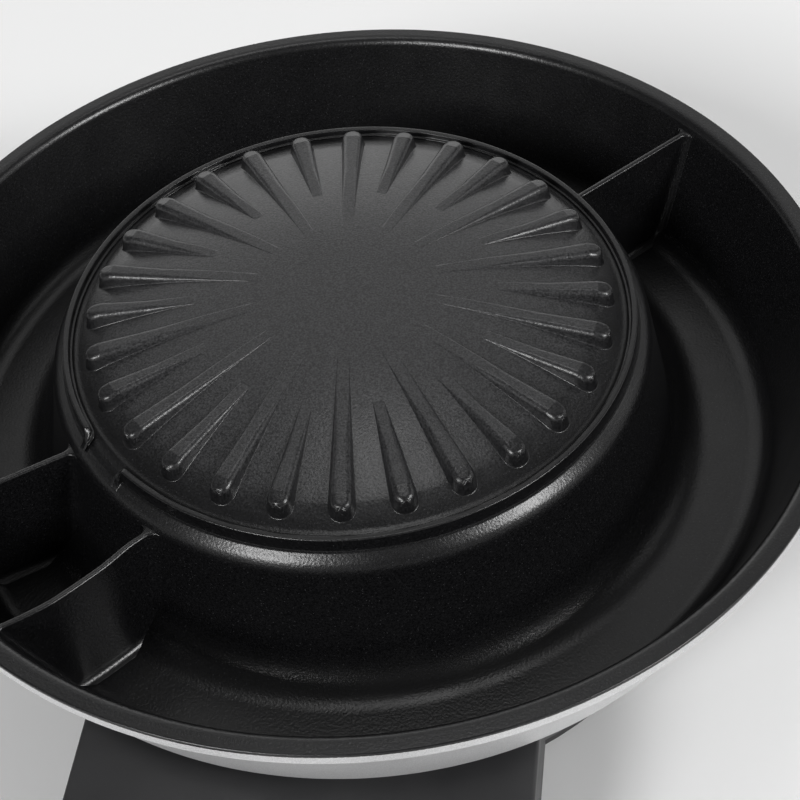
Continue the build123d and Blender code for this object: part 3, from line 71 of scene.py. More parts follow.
# Ribs
RIBS = 28
RIB_FIRST = 45.5
LONG_INNER = 28.7
SHORT_INNER = 52.0
RIB_INNER_HALF = 1.85
RIB_OUTER_HALF = 3.45
NOSE_R = 87.8
NOSE_SQUARE = 2.35
NOSE_TOP_Z = 125.2
FACET_R = 86.4
FACET_SLOPE = 0.30
FLANK = math.radians(81.0)
RIB_ROUND = 2.3
TIP_ROUND = 1.2
FOOT_ROUND = 0.35

# Lip, with its ends turned outwards at the drain outlet
LIP_R = 99.0
LIP_Z = 118.56
LIP_FOOT_R = 101.2
LIP_FOOT_Z = 113.0
LIP_TURN = 2.0
LIP_REACH = 103.2
LIP_TRIM = 1.2
LIP_FALL = 0.9
LIP_SINK = 0.6
LIP_BURIED = 0.4
LIP_END_HEIGHT = 0.25
LIP_FULL_HEIGHT = 5.0
LIP_LEAST = 0.02
DRAIN = -136.4
DRAIN_HALF = 6.0

# Sections of the lip's four quarters: places across it, with heights over its foot or under its top
LIP_INNER_FOOT = ((-2.1, -0.35), (-2.0, 0.0), (-1.75, 0.04), (-1.5, 0.15), (-1.32, 0.34),
                  (-1.22, 0.6), (-1.16, 1.0))
LIP_INNER_TOP = ((-1.1, 0.62), (-1.0, 0.32), (-0.82, 0.12), (-0.55, 0.02), (-0.3, 0.0))
LIP_OUTER_TOP = ((0.35, 0.0), (0.6, 0.02), (0.82, 0.13), (0.95, 0.32), (1.0, 0.62))
LIP_OUTER_FOOT = ((1.18, 1.55), (1.24, 0.85), (1.36, 0.5), (1.56, 0.2), (1.85, 0.04),
                  (2.2, -0.02), (2.3, -0.4))

# Island, moat, outer wall and rim
SHOULDER_SLOPE = math.radians(42.0)
SHOULDER_START_R = 101.1
SHOULDER_R = 105.0
SHOULDER_ROUND = 9.0
ISLAND_FOOT_R = 114.8
ISLAND_FOOT_ROUND = 16.0
FLOOR_Z = 63.0
WALL_FOOT_R = 148.0
WALL_FOOT_ROUND = 9.0
WALL_TOP_R = 164.4
WALL_TOP_ROUND = 4.0
RIM_Z = 112.0
RIM_R = 171.3
RIM_EDGE_ROUND = 0.6
PAINT_LINE = 1.2
PAINT_LAP = 0.1

# Painted outside, then the hidden underside of the island
FLANGE_Z = 107.0
SKIN_TOP_R = 166.6
SKIN_TOP_ROUND = 1.2
SKIN_FOOT_R = 150.46
SKIN_FOOT_ROUND = 10.0
BOTTOM_Z = 59.0
BOTTOM_INNER_R = 112.0
BOTTOM_INNER_ROUND = 0.8
UNDERSIDE = ((101.4, 106.5, 4.0), (94.0, 110.6, 3.0), (60.0, 120.4, 0), (0.05, 127.0, 0))

# Dividers: half thickness at the top, draft, and roundings into the floor and the walls
DIVIDER_TOP_Z = 107.7
DIVIDER_HALF = 1.1
DIVIDER_DRAFT = math.radians(2.6)
DIVIDER_FLARE = 3.0
DIVIDER_CREST = 0.7
DIVIDER_BURIED = 0.4
MAIN_ANGLE = 45.0
BOX_ANGLE = -145.15
CURVED_LINE = ((100, -119.4), (107, -120.0), (114, -120.8), (124, -121.1), (135, -121.9),
               (145, -122.7), (155, -124.0), (160, -124.7), (170, -126.1))
DIVIDER_REACH = (100, 170)

# Lugs that carry the handles
LUG_START = 160.5
LUG_END = 184.0
LUG_HALF = 32.0
LUG_LOW = 92.0
LUG_HIGH = 100.0
LUG_CORNER = 8.0
LUG_EDGE = 1.2

# Control panel and knobs
PANEL_TILT = math.radians(26.0)
PANEL_HALF = 17.85
KNOB_X = 39.996
KNOB_TOP = 18.3
GROOVE_DEPTH = 0.9
DIAL_STEP = 22.5
DIAL_STEPS = 12
DIAL_ROOM = 0.8
MARK_START = 18.0
MARK_END = 19.4
MARK_WIDTH = 0.45
MINOR_END = 18.9
MINOR_WIDTH = 0.3
NUMBER_R = 21.6
NUMBER_SIZE = 4.0
PRINT_LIFT = 0.04
POINTER_START = 1.4
POINTER_END = 12.2
POINTER_WIDTH = 1.3
POINTER_LIFT = 0.12

# Mesh density. Runs of rings are (first, end, step), CENTRE_RINGS is (first, last, count), and
# BODY_LEVELS is (above the floor, below the top, count).
MIN_ARC_STEPS = 3
GUARD = 0.4
GUARD_SHARE = 0.3
EDGE_ARC_STEP = 2.0
BASIN_ARC_STEP = 4.0
OUTSIDE_ARC_STEP = 6.0
BASIN_SEGMENTS = 640
OUTSIDE_SEGMENTS = 512
CENTRE_RINGS = (0.02, 24.0, 14)
RING_RUNS = ((25.0, 27.2, 0.8), (27.4, 31.0, 0.3), (31.6, 50.0, 0.9), (50.2, 54.0, 0.3),
             (54.6, 86.0, 0.85), (93.5, 101.4, 0.32))
NOSE_RUN = (0.25, 5.9, 0.25)
FACET_MARGIN = 0.2
LEAST_RING_GAP = 0.035
FLAT_SHARES = (0.4, 0.75, 1.0)
ROUND_LINES = 9
WALL_LINES = 3
FOOT_LINES = 6
LINE_GAP = 0.012
VALLEY_SHARES = (0.14, 0.32, 0.52, 0.76, 1.0)
SECTOR_ROOM = 0.9
LEAST_WIDTH = 1e-6
LEAST_SQUARE = 1e-9
BLEND_LENGTH = 7.0
LIP_STEPS = 620
LIP_TURN_STEPS = 9
LIP_STRAIGHT_STEPS = 7
FOOT_LEVELS = (0.02, 0.2, 0.5, 0.9, 1.4, 2.0, 2.8, 3.6, 5.0, 8.0)
BODY_LEVELS = (12.0, 1.4, 12)
TOP_LEVELS = (1.0, DIVIDER_CREST)
END_STEPS = (-0.4, 0.0, 0.12, 0.35, 0.7, 1.15, 1.7, 2.4, 3.2)
MIDDLE_START = 4.0
MIDDLE_STEPS = 14
CREST_STEPS = 9
LUG_EDGE_STEPS = 6
LUG_CORNER_STEPS = 9


# Mesh helpers


def build(name, points, faces, material):
    """Piece of the pan from points about its axis and arrays of faces, one per count of corners."""
    co = np.array(points, float) * MM
    co[:, 1] += AXIS_Y
    loops = np.concatenate([rows.ravel() for rows in faces])
    counts = np.concatenate([np.full(len(rows), rows.shape[1], np.int32) for rows in faces])
    mesh = bpy.data.meshes.new(name)
    mesh.vertices.add(len(co))
    mesh.vertices.foreach_set("co", co.astype(np.float32).ravel())
    mesh.loops.add(len(loops))
    mesh.loops.foreach_set("vertex_index", loops.astype(np.int32))
    mesh.polygons.add(len(counts))
    starts = np.concatenate([[0], np.cumsum(counts)[:-1]])
    mesh.polygons.foreach_set("loop_start", starts.astype(np.int32))
    mesh.update(calc_edges=True)
    mesh.validate()
    mesh.shade_smooth()
    mesh.materials.append(material)
    piece = bpy.data.objects.new(name, mesh)
    bpy.context.scene.collection.objects.link(piece)
    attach(piece, "base")
    return piece


def grid(rows, cols, wrap=False):
    """Quads of a grid of rows x cols points; wrap joins the last column to the first."""
    i, j = np.meshgrid(np.arange(rows - 1), np.arange(cols if wrap else cols - 1), indexing="ij")
    k = (j + 1) % cols
    quads = [i * cols + j, i * cols + k, (i + 1) * cols + k, (i + 1) * cols + j]
    return np.stack(quads, -1).reshape(-1, 4)


def rounded(corners, step):
    """Polyline through (radius, height, rounding) corners, with a guard point beside each arc."""
    places = [np.array(corner[:2], float) for corner in corners]
    out = [places[0]]
    for k in range(1, len(places) - 1):
        corner, rounding = places[k], corners[k][2]
        if rounding <= 0:
            out.append(corner)
            continue
        back, on = places[k - 1] - corner, places[k + 1] - corner
        back, on = back / np.linalg.norm(back), on / np.linalg.norm(on)
        angle = math.acos(max(-1, min(1, float(back @ on))))
        cut = rounding / math.tan(angle / 2)
        start, end = corner + back * cut, corner + on * cut
        middle = (back + on) / np.linalg.norm(back + on)
        centre = corner + middle * rounding / math.sin(angle / 2)
        first = math.atan2(*(start - centre)[::-1])
        last = math.atan2(*(end - centre)[::-1])
        sweep = (last - first + math.pi) % (2 * math.pi) - math.pi
        guard = min(GUARD, cut * GUARD_SHARE)
        steps = max(MIN_ARC_STEPS, int(math.degrees(math.pi - angle) / step))
        out.append(start + back * guard)
        for share in np.linspace(0, 1, steps + 1):
            turned = first + sweep * share
            out.append(centre + rounding * np.array([math.cos(turned), math.sin(turned)]))
        out.append(end + on * guard)
    out.append(places[-1])
    return np.array(out)


def spin(name, profile, segments, material):
    """Surface of revolution of a profile of radii and heights."""
    turn = np.arange(segments) * 2 * math.pi / segments
    r, z = profile[:, 0][:, None], profile[:, 1][:, None]
    points = np.stack([r * np.cos(turn), r * np.sin(turn), z + 0 * turn], -1)
    return build(name, points.reshape(-1, 3), [grid(len(profile), segments, True)], material)


def unit(angle):
    """Direction of an angle in the plan."""
    return np.array([math.cos(math.radians(angle)), math.sin(math.radians(angle))])


def ease(share):
    """Smooth step from 0 to 1."""
    return share * share * (3 - 2 * share)


# Finishes. Texture scales are per metre and bump depths are in metres.

MIX_FACTOR, MIX_LOW, MIX_HIGH, MIX_RESULT = 0, 6, 7, 2


class Graph:
    """Small helper for shader node trees."""

    def __init__(self, name):
        self.mat = bpy.data.materials.new(name)
        self.mat.use_nodes = True
        self.tree = self.mat.node_tree
        self.bsdf = self.tree.nodes["Principled BSDF"]
        self.coord = self.tree.nodes.new("ShaderNodeTexCoord").outputs["Object"]

    def node(self, kind, **values):
        """New node with its inputs or settings by name."""
        node = self.tree.nodes.new(kind)
        for key, value in values.items():
            if key in node.inputs:
                node.inputs[key].default_value = value
            else:
                setattr(node, key, value)
        return node

    def feed(self, value, socket):
        """Give a socket a link, a colour or a number."""
        if hasattr(value, "links"):
            self.tree.links.new(value, socket)
        elif hasattr(value, "__len__"):
            socket.default_value = (*value, 1)
        else:
            socket.default_value = value

    def noise(self, scale, detail=2.0):
        node = self.node("ShaderNodeTexNoise", Scale=scale, Detail=detail)
        self.feed(self.coord, node.inputs["Vector"])
        return node.outputs["Fac"]

    def cells(self, scale):
        """Distance from the nearest of many scattered points."""
        node = self.node("ShaderNodeTexVoronoi", Scale=scale)
        self.feed(self.coord, node.inputs["Vector"])
        return node.outputs["Distance"]

    def distance(self, place):
        """Distance from a place in metres."""
        offset = self.node("ShaderNodeVectorMath", operation="SUBTRACT")
        self.feed(self.coord, offset.inputs[0])
        offset.inputs[1].default_value = place
        length = self.node("ShaderNodeVectorMath", operation="LENGTH")
        self.feed(offset.outputs[0], length.inputs[0])
        return length.outputs["Value"]

    def ramp(self, value, low, high):
        """Grey ramp between two (position, level) stops."""
        node = self.node("ShaderNodeValToRGB")
        for stop, (position, level) in zip(node.color_ramp.elements, (low, high)):
            stop.position = position
            stop.color = (level, level, level, 1)
        self.feed(value, node.inputs["Fac"])
        return node.outputs["Color"]

    def mix(self, share, low, high):
        node = self.node("ShaderNodeMix", data_type="RGBA")
        for value, key in ((share, MIX_FACTOR), (low, MIX_LOW), (high, MIX_HIGH)):
            self.feed(value, node.inputs[key])
        return node.outputs[MIX_RESULT]

    def scaled(self, value, factor):
        node = self.node("ShaderNodeMath", operation="MULTIPLY")
        self.feed(value, node.inputs[0])
        self.feed(factor, node.inputs[1])
        return node.outputs[0]

    def bump(self, height, strength, depth):
        node = self.node("ShaderNodeBump", Strength=strength, Distance=depth)
        self.feed(height, node.inputs["Height"])
        return node.outputs["Normal"]

    def done(self, color, rough, normal=None, **values):
        """Link the colour, roughness and normal, set plain numbers by socket, give the material."""
        for value, key in ((color, "Base Color"), (rough, "Roughness"), (normal, "Normal")):
            if value is not None:
                self.feed(value, self.bsdf.inputs[key])
        for key, value in values.items():
            self.bsdf.inputs[key.replace("_", " ")].default_value = value
        return self.mat


def grey(level, blue=0.0):
    """Neutral colour with its blue moved a little."""
    return (level, level, level + blue)


def coating():
    """Black satin non-stick coating: fine specks, sparse light flecks, and painted light over the
    plate.
    """
    g = Graph("pan_coating")
    speck = g.ramp(g.noise(1500.0), (0.36, 0.0), (0.66, 1.0))
    fleck = g.ramp(g.cells(700.0), (0.0, 1.0), (0.17, 0.0))
    # Painted light: within about 90 mm of the plate's top, the plate and its ribs get a lighter
    # coating colour, standing in for the brighter light on them
    lit_plate_share = g.ramp(g.distance((0, AXIS_Y, DOME_TOP * MM)), (0.082, 1.0), (0.094, 0.0))
    base_coat = g.mix(speck, grey(0.0018, 0.0003), grey(0.0066, 0.0006))
    painted_light_coat = g.mix(speck, grey(0.009, 0.0006), grey(0.038, 0.0015))
    color = g.mix(g.scaled(fleck, 0.5), g.mix(lit_plate_share, base_coat, painted_light_coat), grey(0.085, 0.005))
    gloss = g.ramp(g.noise(60.0, 3.0), (0.3, 0.28), (0.7, 0.33))
    return g.done(color, gloss, g.bump(g.noise(1100.0), 0.42, 0.0002), Specular_IOR_Level=0.5)


def paint():
    """Pale silver-grey paint with fine flakes."""
    g = Graph("pan_paint")
    flakes = g.ramp(g.noise(2600.0, 1.0), (0.4, 0.0), (0.62, 1.0))
    color = g.mix(flakes, grey(0.50, 0.005), grey(0.62, 0.005))
    gloss = g.ramp(g.noise(40.0, 3.0), (0.3, 0.40), (0.7, 0.48))
    return g.done(color, gloss, g.bump(g.noise(900.0), 0.08, 0.0002), Metallic=0.35)


def moulded(name, low, high, rough, grain=1400.0, relief=0.18):
    """Textured plastic with a slight drift of colour and gloss."""
    g = Graph(name)
    drift = g.ramp(g.noise(25.0, 4.0), (0.35, 0.0), (0.65, 1.0))
    gloss = g.ramp(g.noise(90.0, 3.0), (0.3, rough - 0.04), (0.7, rough + 0.05))
    return g.done(g.mix(drift, low, high), gloss, g.bump(g.noise(grain), relief, 0.0001))


def metal(name, low, high, rough):
    """Bare metal with fine variation."""
    g = Graph(name)
    fine = g.noise(400.0, 4.0)
    gloss = g.ramp(fine, (0.3, rough - 0.06), (0.7, rough + 0.08))
    return g.done(g.mix(fine, low, high), gloss, g.bump(fine, 0.08, 0.0001), Metallic=1.0)


def lamp_glass():
    """Translucent red lens."""
    g = Graph("lamp_red")
    color = g.mix(g.noise(300.0), (0.42, 0.020, 0.012), (0.55, 0.035, 0.020))
    gloss = g.ramp(g.noise(500.0), (0.3, 0.14), (0.7, 0.22))
    return g.done(color, gloss, Transmission_Weight=0.25)


COATING = coating()
PAINT = paint()
PRINT = moulded("white_print", grey(0.62, -0.01), grey(0.72, -0.01), 0.55, 1500.0, 0.05)
STEEL = metal("screw_steel", grey(0.52), grey(0.66, -0.01), 0.32)
SHELL = moulded("base_plastic", grey(0.016, 0.001), grey(0.024, 0.001), 0.46)
HANDLE = moulded("handle_plastic", grey(0.012), grey(0.018), 0.30, 700.0, 0.05)
KNOB = moulded("knob_plastic", grey(0.014, 0.001), grey(0.021, 0.001), 0.40, 1800.0, 0.10)
SHEATH = metal("sheath_steel", (0.20, 0.18, 0.16), (0.34, 0.32, 0.29), 0.42)
BRASS = metal("brass", (0.62, 0.50, 0.26), (0.74, 0.62, 0.36), 0.30)
COPPER = metal("copper", (0.58, 0.30, 0.18), (0.70, 0.40, 0.26), 0.32)
WHITE = moulded("white_parts", (0.66, 0.64, 0.58), (0.74, 0.72, 0.66), 0.50)

FINISHES = (
    (SHELL, ("base_shell", "bottom_cover", "power_inlet")),
    (moulded("panel_plastic", grey(0.020, 0.001), grey(0.027, 0.001), 0.38, 2200.0, 0.08),
     ("control_panel",)),
    (HANDLE, ("left_handle", "right_handle")),
    (KNOB, ("grill_knob", "pot_knob")),
    (moulded("rubber", grey(0.020), grey(0.030), 0.72, 900.0, 0.25), ("rubber_feet",)),
    (moulded("silicone", grey(0.055), grey(0.075), 0.60, 900.0, 0.12), ("pan_gasket",)),
    (STEEL, ("foot_screws", "pan_screws", "cover_screws", "clip_screws", "handle_screws",
             "inlet_screws", "pot_element_clips", "grill_element_clips", "grill_thermostat",
             "pot_thermostat", "grill_shaft", "pot_shaft")),
    (SHEATH, ("pot_element", "grill_element")),
    (metal("sheet_aluminium", grey(0.66), grey(0.78, -0.01), 0.36), ("heat_shield",)),
    (BRASS, ("thermostat_nuts", "inlet_pins")),
    (COPPER, ("grill_sensor", "pot_sensor")),
    (lamp_glass(), ("lamp_lenses",)),
    (WHITE, ("lamp_bodies", "thermal_fuse", "terminal_block")),
    (moulded("wire_insulation", (0.58, 0.56, 0.50), (0.68, 0.66, 0.60), 0.55), ("wiring",)),
    (moulded("earth_insulation", (0.20, 0.36, 0.05), (0.30, 0.46, 0.08), 0.55), ("earth_lead",)),
)
EDGE_SPLIT = math.radians(28)


def finish_nodes():
    """Give every node of the frame its finish, smooth but sharp at its edges."""
    for material, names in FINISHES:
        for name in names:
            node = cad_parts[name]
            node.data.materials.clear()
            node.data.materials.append(material)
            node.data.shade_smooth()
            node.modifiers.new("edges", "EDGE_SPLIT").split_angle = EDGE_SPLIT


# Plate with its ribs, as one field of heights


def dome(r):
    """Height of the domed plate."""
    return DOME_TOP - DOME_R + np.sqrt(DOME_R ** 2 - np.minimum(r, LIP_R) ** 2)


EDGE = rounded([(EDGE_START_R, dome(EDGE_START_R), 0),
                (EDGE_TOP_R, dome(EDGE_TOP_R), EDGE_TOP_ROUND),
                (EDGE_FOOT_R, MARGIN_Z, EDGE_FOOT_ROUND), (EDGE_END_R, MARGIN_Z, 0)],
               EDGE_ARC_STEP)


def shoulder(r):
    """Height of the sloping shoulder outside the lip."""
    return LIP_FOOT_Z - (r - LIP_FOOT_R) * math.tan(SHOULDER_SLOPE)


def plate_base(r):
    """Height of the plate, its edge, its margin and the ramp under the lip to the shoulder."""
    edge = np.where(r < EDGE[0, 0], dome(r), np.interp(r, EDGE[:, 0], EDGE[:, 1]))
    ramp = ease(np.clip((r - RAMP_START_R) / RAMP_LENGTH, 0, 1))
    return np.minimum(edge - (MARGIN_Z - RAMP_FOOT_Z) * ramp, shoulder(r) + SEAM)


def rib_sizes(r, inner):
    """Section of a rib at radius r: its top, its height, half of its flat and its two roundings."""
    slope = (NOSE_TOP_Z - dome(inner)) / (FACET_R - inner)
    top = dome(inner) + slope * (np.minimum(r, FACET_R) - inner)
    top = top - np.maximum(r - FACET_R, 0) * FACET_SLOPE
    height = np.maximum(top - plate_base(r), 0)
    share = np.minimum(1, height / ((RIB_ROUND + FOOT_ROUND) * (1 - math.cos(FLANK))))
    along = np.clip((r - inner) / (NOSE_R - inner), 0, 1)
    half = RIB_INNER_HALF + (RIB_OUTER_HALF - RIB_INNER_HALF) * along
    edge, foot = RIB_ROUND * share, FOOT_ROUND * share
    return top, height, half - edge * math.tan(FLANK / 2), edge, foot


def rib_lines(r, inner):
    """Distances from a rib's middle line of the mesh lines that follow its section at radius r."""
    _, height, flat, edge, foot = rib_sizes(r, inner)
    wall = np.maximum(height - (edge + foot) * (1 - math.cos(FLANK)), 0) / math.tan(FLANK)
    lines = [flat * share for share in FLAT_SHARES]
    lines += [flat + edge * math.sin(FLANK * k / ROUND_LINES) for k in range(1, ROUND_LINES + 1)]
    crest = lines[-1]
    lines += [crest + wall * k / WALL_LINES for k in range(1, WALL_LINES + 1)]
    end = lines[-1] + foot * math.sin(FLANK)
    lines += [end - foot * math.sin(FLANK * (1 - k / FOOT_LINES)) for k in range(1, FOOT_LINES + 1)]
    return np.array([line + LINE_GAP * (k + 1) for k, line in enumerate(lines)])


def rib_height(r, across, inner):
    """Height of the plate with its rib at radius r and a distance across from its middle line."""
    base = plate_base(r)
    top, height, flat, edge, foot = rib_sizes(r, inner)
    past = np.maximum(r - NOSE_R, 0)
    ahead = past ** 2 / np.maximum(past ** 2 + across ** 2, LEAST_SQUARE)
    sharper = np.minimum((RIB_ROUND - TIP_ROUND) * ahead, edge)
    edge, flat = edge - sharper, flat + sharper * math.tan(FLANK / 2)
    nose = (past ** NOSE_SQUARE + np.abs(across) ** NOSE_SQUARE) ** (1 / NOSE_SQUARE)
    off = np.maximum(np.where(past > 0, nose, np.abs(across)) - flat, 0)
    bend = edge * math.sin(FLANK)
    crest = top - edge + np.sqrt(np.maximum(edge ** 2 - np.minimum(off, bend) ** 2, 0))
    wall = crest - np.maximum(off - bend, 0) * math.tan(FLANK)
    run = (height - edge * (1 - math.cos(FLANK))) / math.tan(FLANK)
    end = bend + run + foot * math.tan(FLANK / 2)
    hollow = foot - np.sqrt(np.maximum(foot ** 2 - np.clip(end - off, 0, foot) ** 2, 0))
    outer = np.where(off < end, base + hollow, base)
    z = np.where(off < end - foot * math.sin(FLANK), wall, outer)
    return np.where(r >= inner, np.maximum(z, base), base)


def plate_rings(nose_lines):
    """Radii of the plate's rings, close together at the ribs' ends."""
    runs = [np.linspace(*CENTRE_RINGS)] + [np.arange(*run) for run in RING_RUNS]
    facet = FACET_R + np.array([-FACET_MARGIN, 0, FACET_MARGIN])
    rings = np.sort(np.concatenate([*runs, facet, [NOSE_R], NOSE_R + nose_lines,
                                    NOSE_R + np.arange(*NOSE_RUN)]))
    return rings[np.concatenate([[True], np.diff(rings) > LEAST_RING_GAP])]


def plate_lines(rings, inner, nose_lines):
    """Distances across of the mesh lines from a rib's middle line to the middle of its valley."""
    lines = rib_lines(rings, inner)
    valley = rings * math.sin(math.pi / RIBS)
    fit = np.minimum(1, SECTOR_ROOM * valley / lines[-1].clip(LEAST_WIDTH))
    past = np.maximum(rings - NOSE_R, 0)
    round_nose = np.maximum(nose_lines[:, None] ** NOSE_SQUARE - past ** NOSE_SQUARE, 0)
    lines = np.where(past > 0, round_nose ** (1 / NOSE_SQUARE), lines * fit)
    rest = lines[-1] + (valley - lines[-1]) * np.array(VALLEY_SHARES)[:, None]
    across = np.concatenate([lines, rest])
    for ring in across.T:
        first = int(np.argmax(ring > LEAST_WIDTH))
        ring[:first] = ring[first] * np.arange(1, first + 1) / (first + 1)
    even = valley * (np.arange(1, len(across) + 1) / len(across))[:, None]
    share = ease(np.clip((rings - (inner - BLEND_LENGTH)) / BLEND_LENGTH, 0, 1))
    return even + (across - even) * share


def plate():
    """Plate with all its ribs, with mesh lines along every rib's edges and round its nose."""
    nose_lines = rib_lines(np.array([NOSE_R]), LONG_INNER)[:, 0]
    rings = plate_rings(nose_lines)
    turns, heights = [], []
    for k in range(RIBS):
        inner = LONG_INNER if k % 2 == 0 else SHORT_INNER
        middle = math.radians(RIB_FIRST + k * 360 / RIBS)
        across = plate_lines(rings, inner, nose_lines)
        angle = np.arcsin(np.clip(across / rings, -1, 1))
        angle[-1] = math.pi / RIBS
        z = rib_height(np.broadcast_to(rings, across.shape), across, inner)
        crown = rib_height(rings, np.zeros_like(rings), inner)
        turns += [middle - angle[-2::-1], [np.full_like(rings, middle)], middle + angle]
        heights += [z[-2::-1], [crown], z]
    turn, z = np.concatenate(turns).T, np.concatenate(heights).T
    points = np.stack([rings[:, None] * np.cos(turn), rings[:, None] * np.sin(turn), z], -1)
    return build("pan_plate", points.reshape(-1, 3), [grid(*turn.shape, True)], COATING)


# Rest of the pan


def island_radius(z):
    """Radius of the island's outer wall at a height below its shoulder."""
    share = (z - FLOOR_Z) / (shoulder(SHOULDER_R) - FLOOR_Z)
    return ISLAND_FOOT_R + (SHOULDER_R - ISLAND_FOOT_R) * share


def wall_radius(z):
    """Radius of the moat's outer wall at a height."""
    return WALL_TOP_R - (RIM_Z - z) * (WALL_TOP_R - WALL_FOOT_R) / (RIM_Z - FLOOR_Z)


def basin():
    """Shoulder, island wall, moat, outer wall and rim."""
    corners = [(SHOULDER_START_R, shoulder(SHOULDER_START_R), 0),
               (SHOULDER_R, shoulder(SHOULDER_R), SHOULDER_ROUND),
               (ISLAND_FOOT_R, FLOOR_Z, ISLAND_FOOT_ROUND),
               (WALL_FOOT_R, FLOOR_Z, WALL_FOOT_ROUND), (WALL_TOP_R, RIM_Z, WALL_TOP_ROUND),
               (RIM_R, RIM_Z, RIM_EDGE_ROUND), (RIM_R, RIM_Z - PAINT_LINE, 0)]
    return spin("pan_basin", rounded(corners, BASIN_ARC_STEP), BASIN_SEGMENTS, COATING)


def outside():
    """Painted outside of the pan: rim edge, tapered wall, bottom corner and underside."""
    corners = [(RIM_R, RIM_Z - PAINT_LINE + PAINT_LAP, 0), (RIM_R, FLANGE_Z, RIM_EDGE_ROUND),
               (SKIN_TOP_R, FLANGE_Z, SKIN_TOP_ROUND), (SKIN_FOOT_R, BOTTOM_Z, SKIN_FOOT_ROUND),
               (BOTTOM_INNER_R, BOTTOM_Z, BOTTOM_INNER_ROUND), *UNDERSIDE]
    return spin("pan_outside", rounded(corners, OUTSIDE_ARC_STEP), OUTSIDE_SEGMENTS, PAINT)


def lip_end(angle, sign):
    """One end of the lip, from the arc outwards: a quarter turn, then straight out, sinking."""
    radial = unit(angle)
    along = np.array([-radial[1], radial[0]]) * sign
    centre = radial * (LIP_R + LIP_TURN)
    places, normals = [], []
    for a in np.linspace(0, math.pi / 2, LIP_TURN_STEPS):
        places.append(centre + (along * math.sin(a) - radial * math.cos(a)) * LIP_TURN)
        normals.append(radial * math.cos(a) - along * math.sin(a))
    corner = places[-1]
    for share in np.linspace(0, 1, LIP_STRAIGHT_STEPS)[1:]:
        places.append(corner + radial * (LIP_REACH - LIP_R - LIP_TURN) * share)
        normals.append(-along)
    steps = np.linalg.norm(np.diff(places, axis=0), axis=1)
    shares = np.concatenate([[0], np.cumsum(steps)]) / steps.sum()
    rows = []
    for place, normal, share in zip(places, normals, shares):
        r = float(np.hypot(*place))
        foot_out = min(LIP_FOOT_Z, shoulder(r))
        foot_in = MARGIN_Z - max(0, r - LIP_R) * LIP_FALL - LIP_SINK * share
        foot_in = max(foot_in, foot_out - LIP_BURIED)
        top = LIP_Z - (LIP_Z - foot_out - LIP_END_HEIGHT) * ease(share)
        rows.append((*place, *normal, foot_in, foot_out, top))
    return rows


def lip_section(foot_in, foot_out, top):
    """Section of the lip as places across and heights, flatter where the lip is low."""
    inner, outer = (max(LIP_LEAST, min(1.0, (top - foot) / LIP_FULL_HEIGHT))
                    for foot in (foot_in, foot_out))
    section = [(across, foot_in + up * inner) for across, up in LIP_INNER_FOOT]
    section += [(across, top - down * inner) for across, down in LIP_INNER_TOP]
    section += [(across, top - down * outer) for across, down in LIP_OUTER_TOP]
    return section + [(across, foot_out + up * outer) for across, up in LIP_OUTER_FOOT]


def lip():
    """Lip round the plate, its two ends turned outwards at the drain outlet."""
    start = DRAIN + DRAIN_HALF + LIP_TRIM
    end = DRAIN - DRAIN_HALF - LIP_TRIM + 360
    path = lip_end(start, -1)[::-1]
    for angle in np.linspace(start, end, LIP_STEPS)[1:-1]:
        outward = unit(angle)
        path.append((*(outward * LIP_R), *outward, MARGIN_Z, LIP_FOOT_Z, LIP_Z))
    path += lip_end(end, 1)
    points = np.array([[(x + nx * across, y + ny * across, z)
                        for across, z in lip_section(foot_in, foot_out, top)]
                       for x, y, nx, ny, foot_in, foot_out, top in path])
    return build("pan_lip", points.reshape(-1, 3), [grid(*points.shape[:2])], COATING)


def flare(depth):
    """Widening of a divider at a distance from the surface that it runs into."""
    left = DIVIDER_FLARE - np.clip(depth, 0, DIVIDER_FLARE)
    return DIVIDER_FLARE - np.sqrt(np.maximum(DIVIDER_FLARE ** 2 - left ** 2, 0))


def divider_line(radii, turn, off, z):
    """Points of one height, moved sideways round the pan's axis."""
    turn = turn + off / radii
    return np.stack([radii * np.cos(turn), radii * np.sin(turn), np.full_like(radii, z)], -1)


def divider(name, line):
    """Wall across the moat along (radius, angle) places, drafted, flared at its foot and ends."""
    radii, angles = zip(*line)
    low, high, count = BODY_LEVELS
    levels = np.concatenate([[FLOOR_Z - DIVIDER_BURIED], FLOOR_Z + np.array(FOOT_LEVELS),
                             np.linspace(FLOOR_Z + low, DIVIDER_TOP_Z - high, count),
                             DIVIDER_TOP_Z - np.array(TOP_LEVELS)])
    ends = np.array(END_STEPS)
    rows = []
    for z in levels:
        inner, outer = island_radius(z), wall_radius(z)
        middle = np.linspace(inner + MIDDLE_START, outer - MIDDLE_START, MIDDLE_STEPS)
        r = np.concatenate([inner + ends, middle, outer - ends[::-1]])
        half = DIVIDER_HALF + (DIVIDER_TOP_Z - z) * math.tan(DIVIDER_DRAFT) + flare(z - FLOOR_Z)
        half = half + flare(r - inner) + flare(outer - r)
        rows.append((r, np.radians(np.interp(r, radii, angles)), half, z))
    left, right = ([divider_line(r, turn, side * half, z) for r, turn, half, z in rows]
                   for side in (-1, 1))
    r, turn, half, _ = rows[-1]
    crest = [divider_line(r, turn, -np.cos(a) * half,
                          DIVIDER_TOP_Z - DIVIDER_CREST * (1 - math.sin(a)))
             for a in np.linspace(0, math.pi, CREST_STEPS)[1:-1]]
    points = np.array(left + crest + right[::-1])
    return build(name, points.reshape(-1, 3), [grid(*points.shape[:2])], COATING)


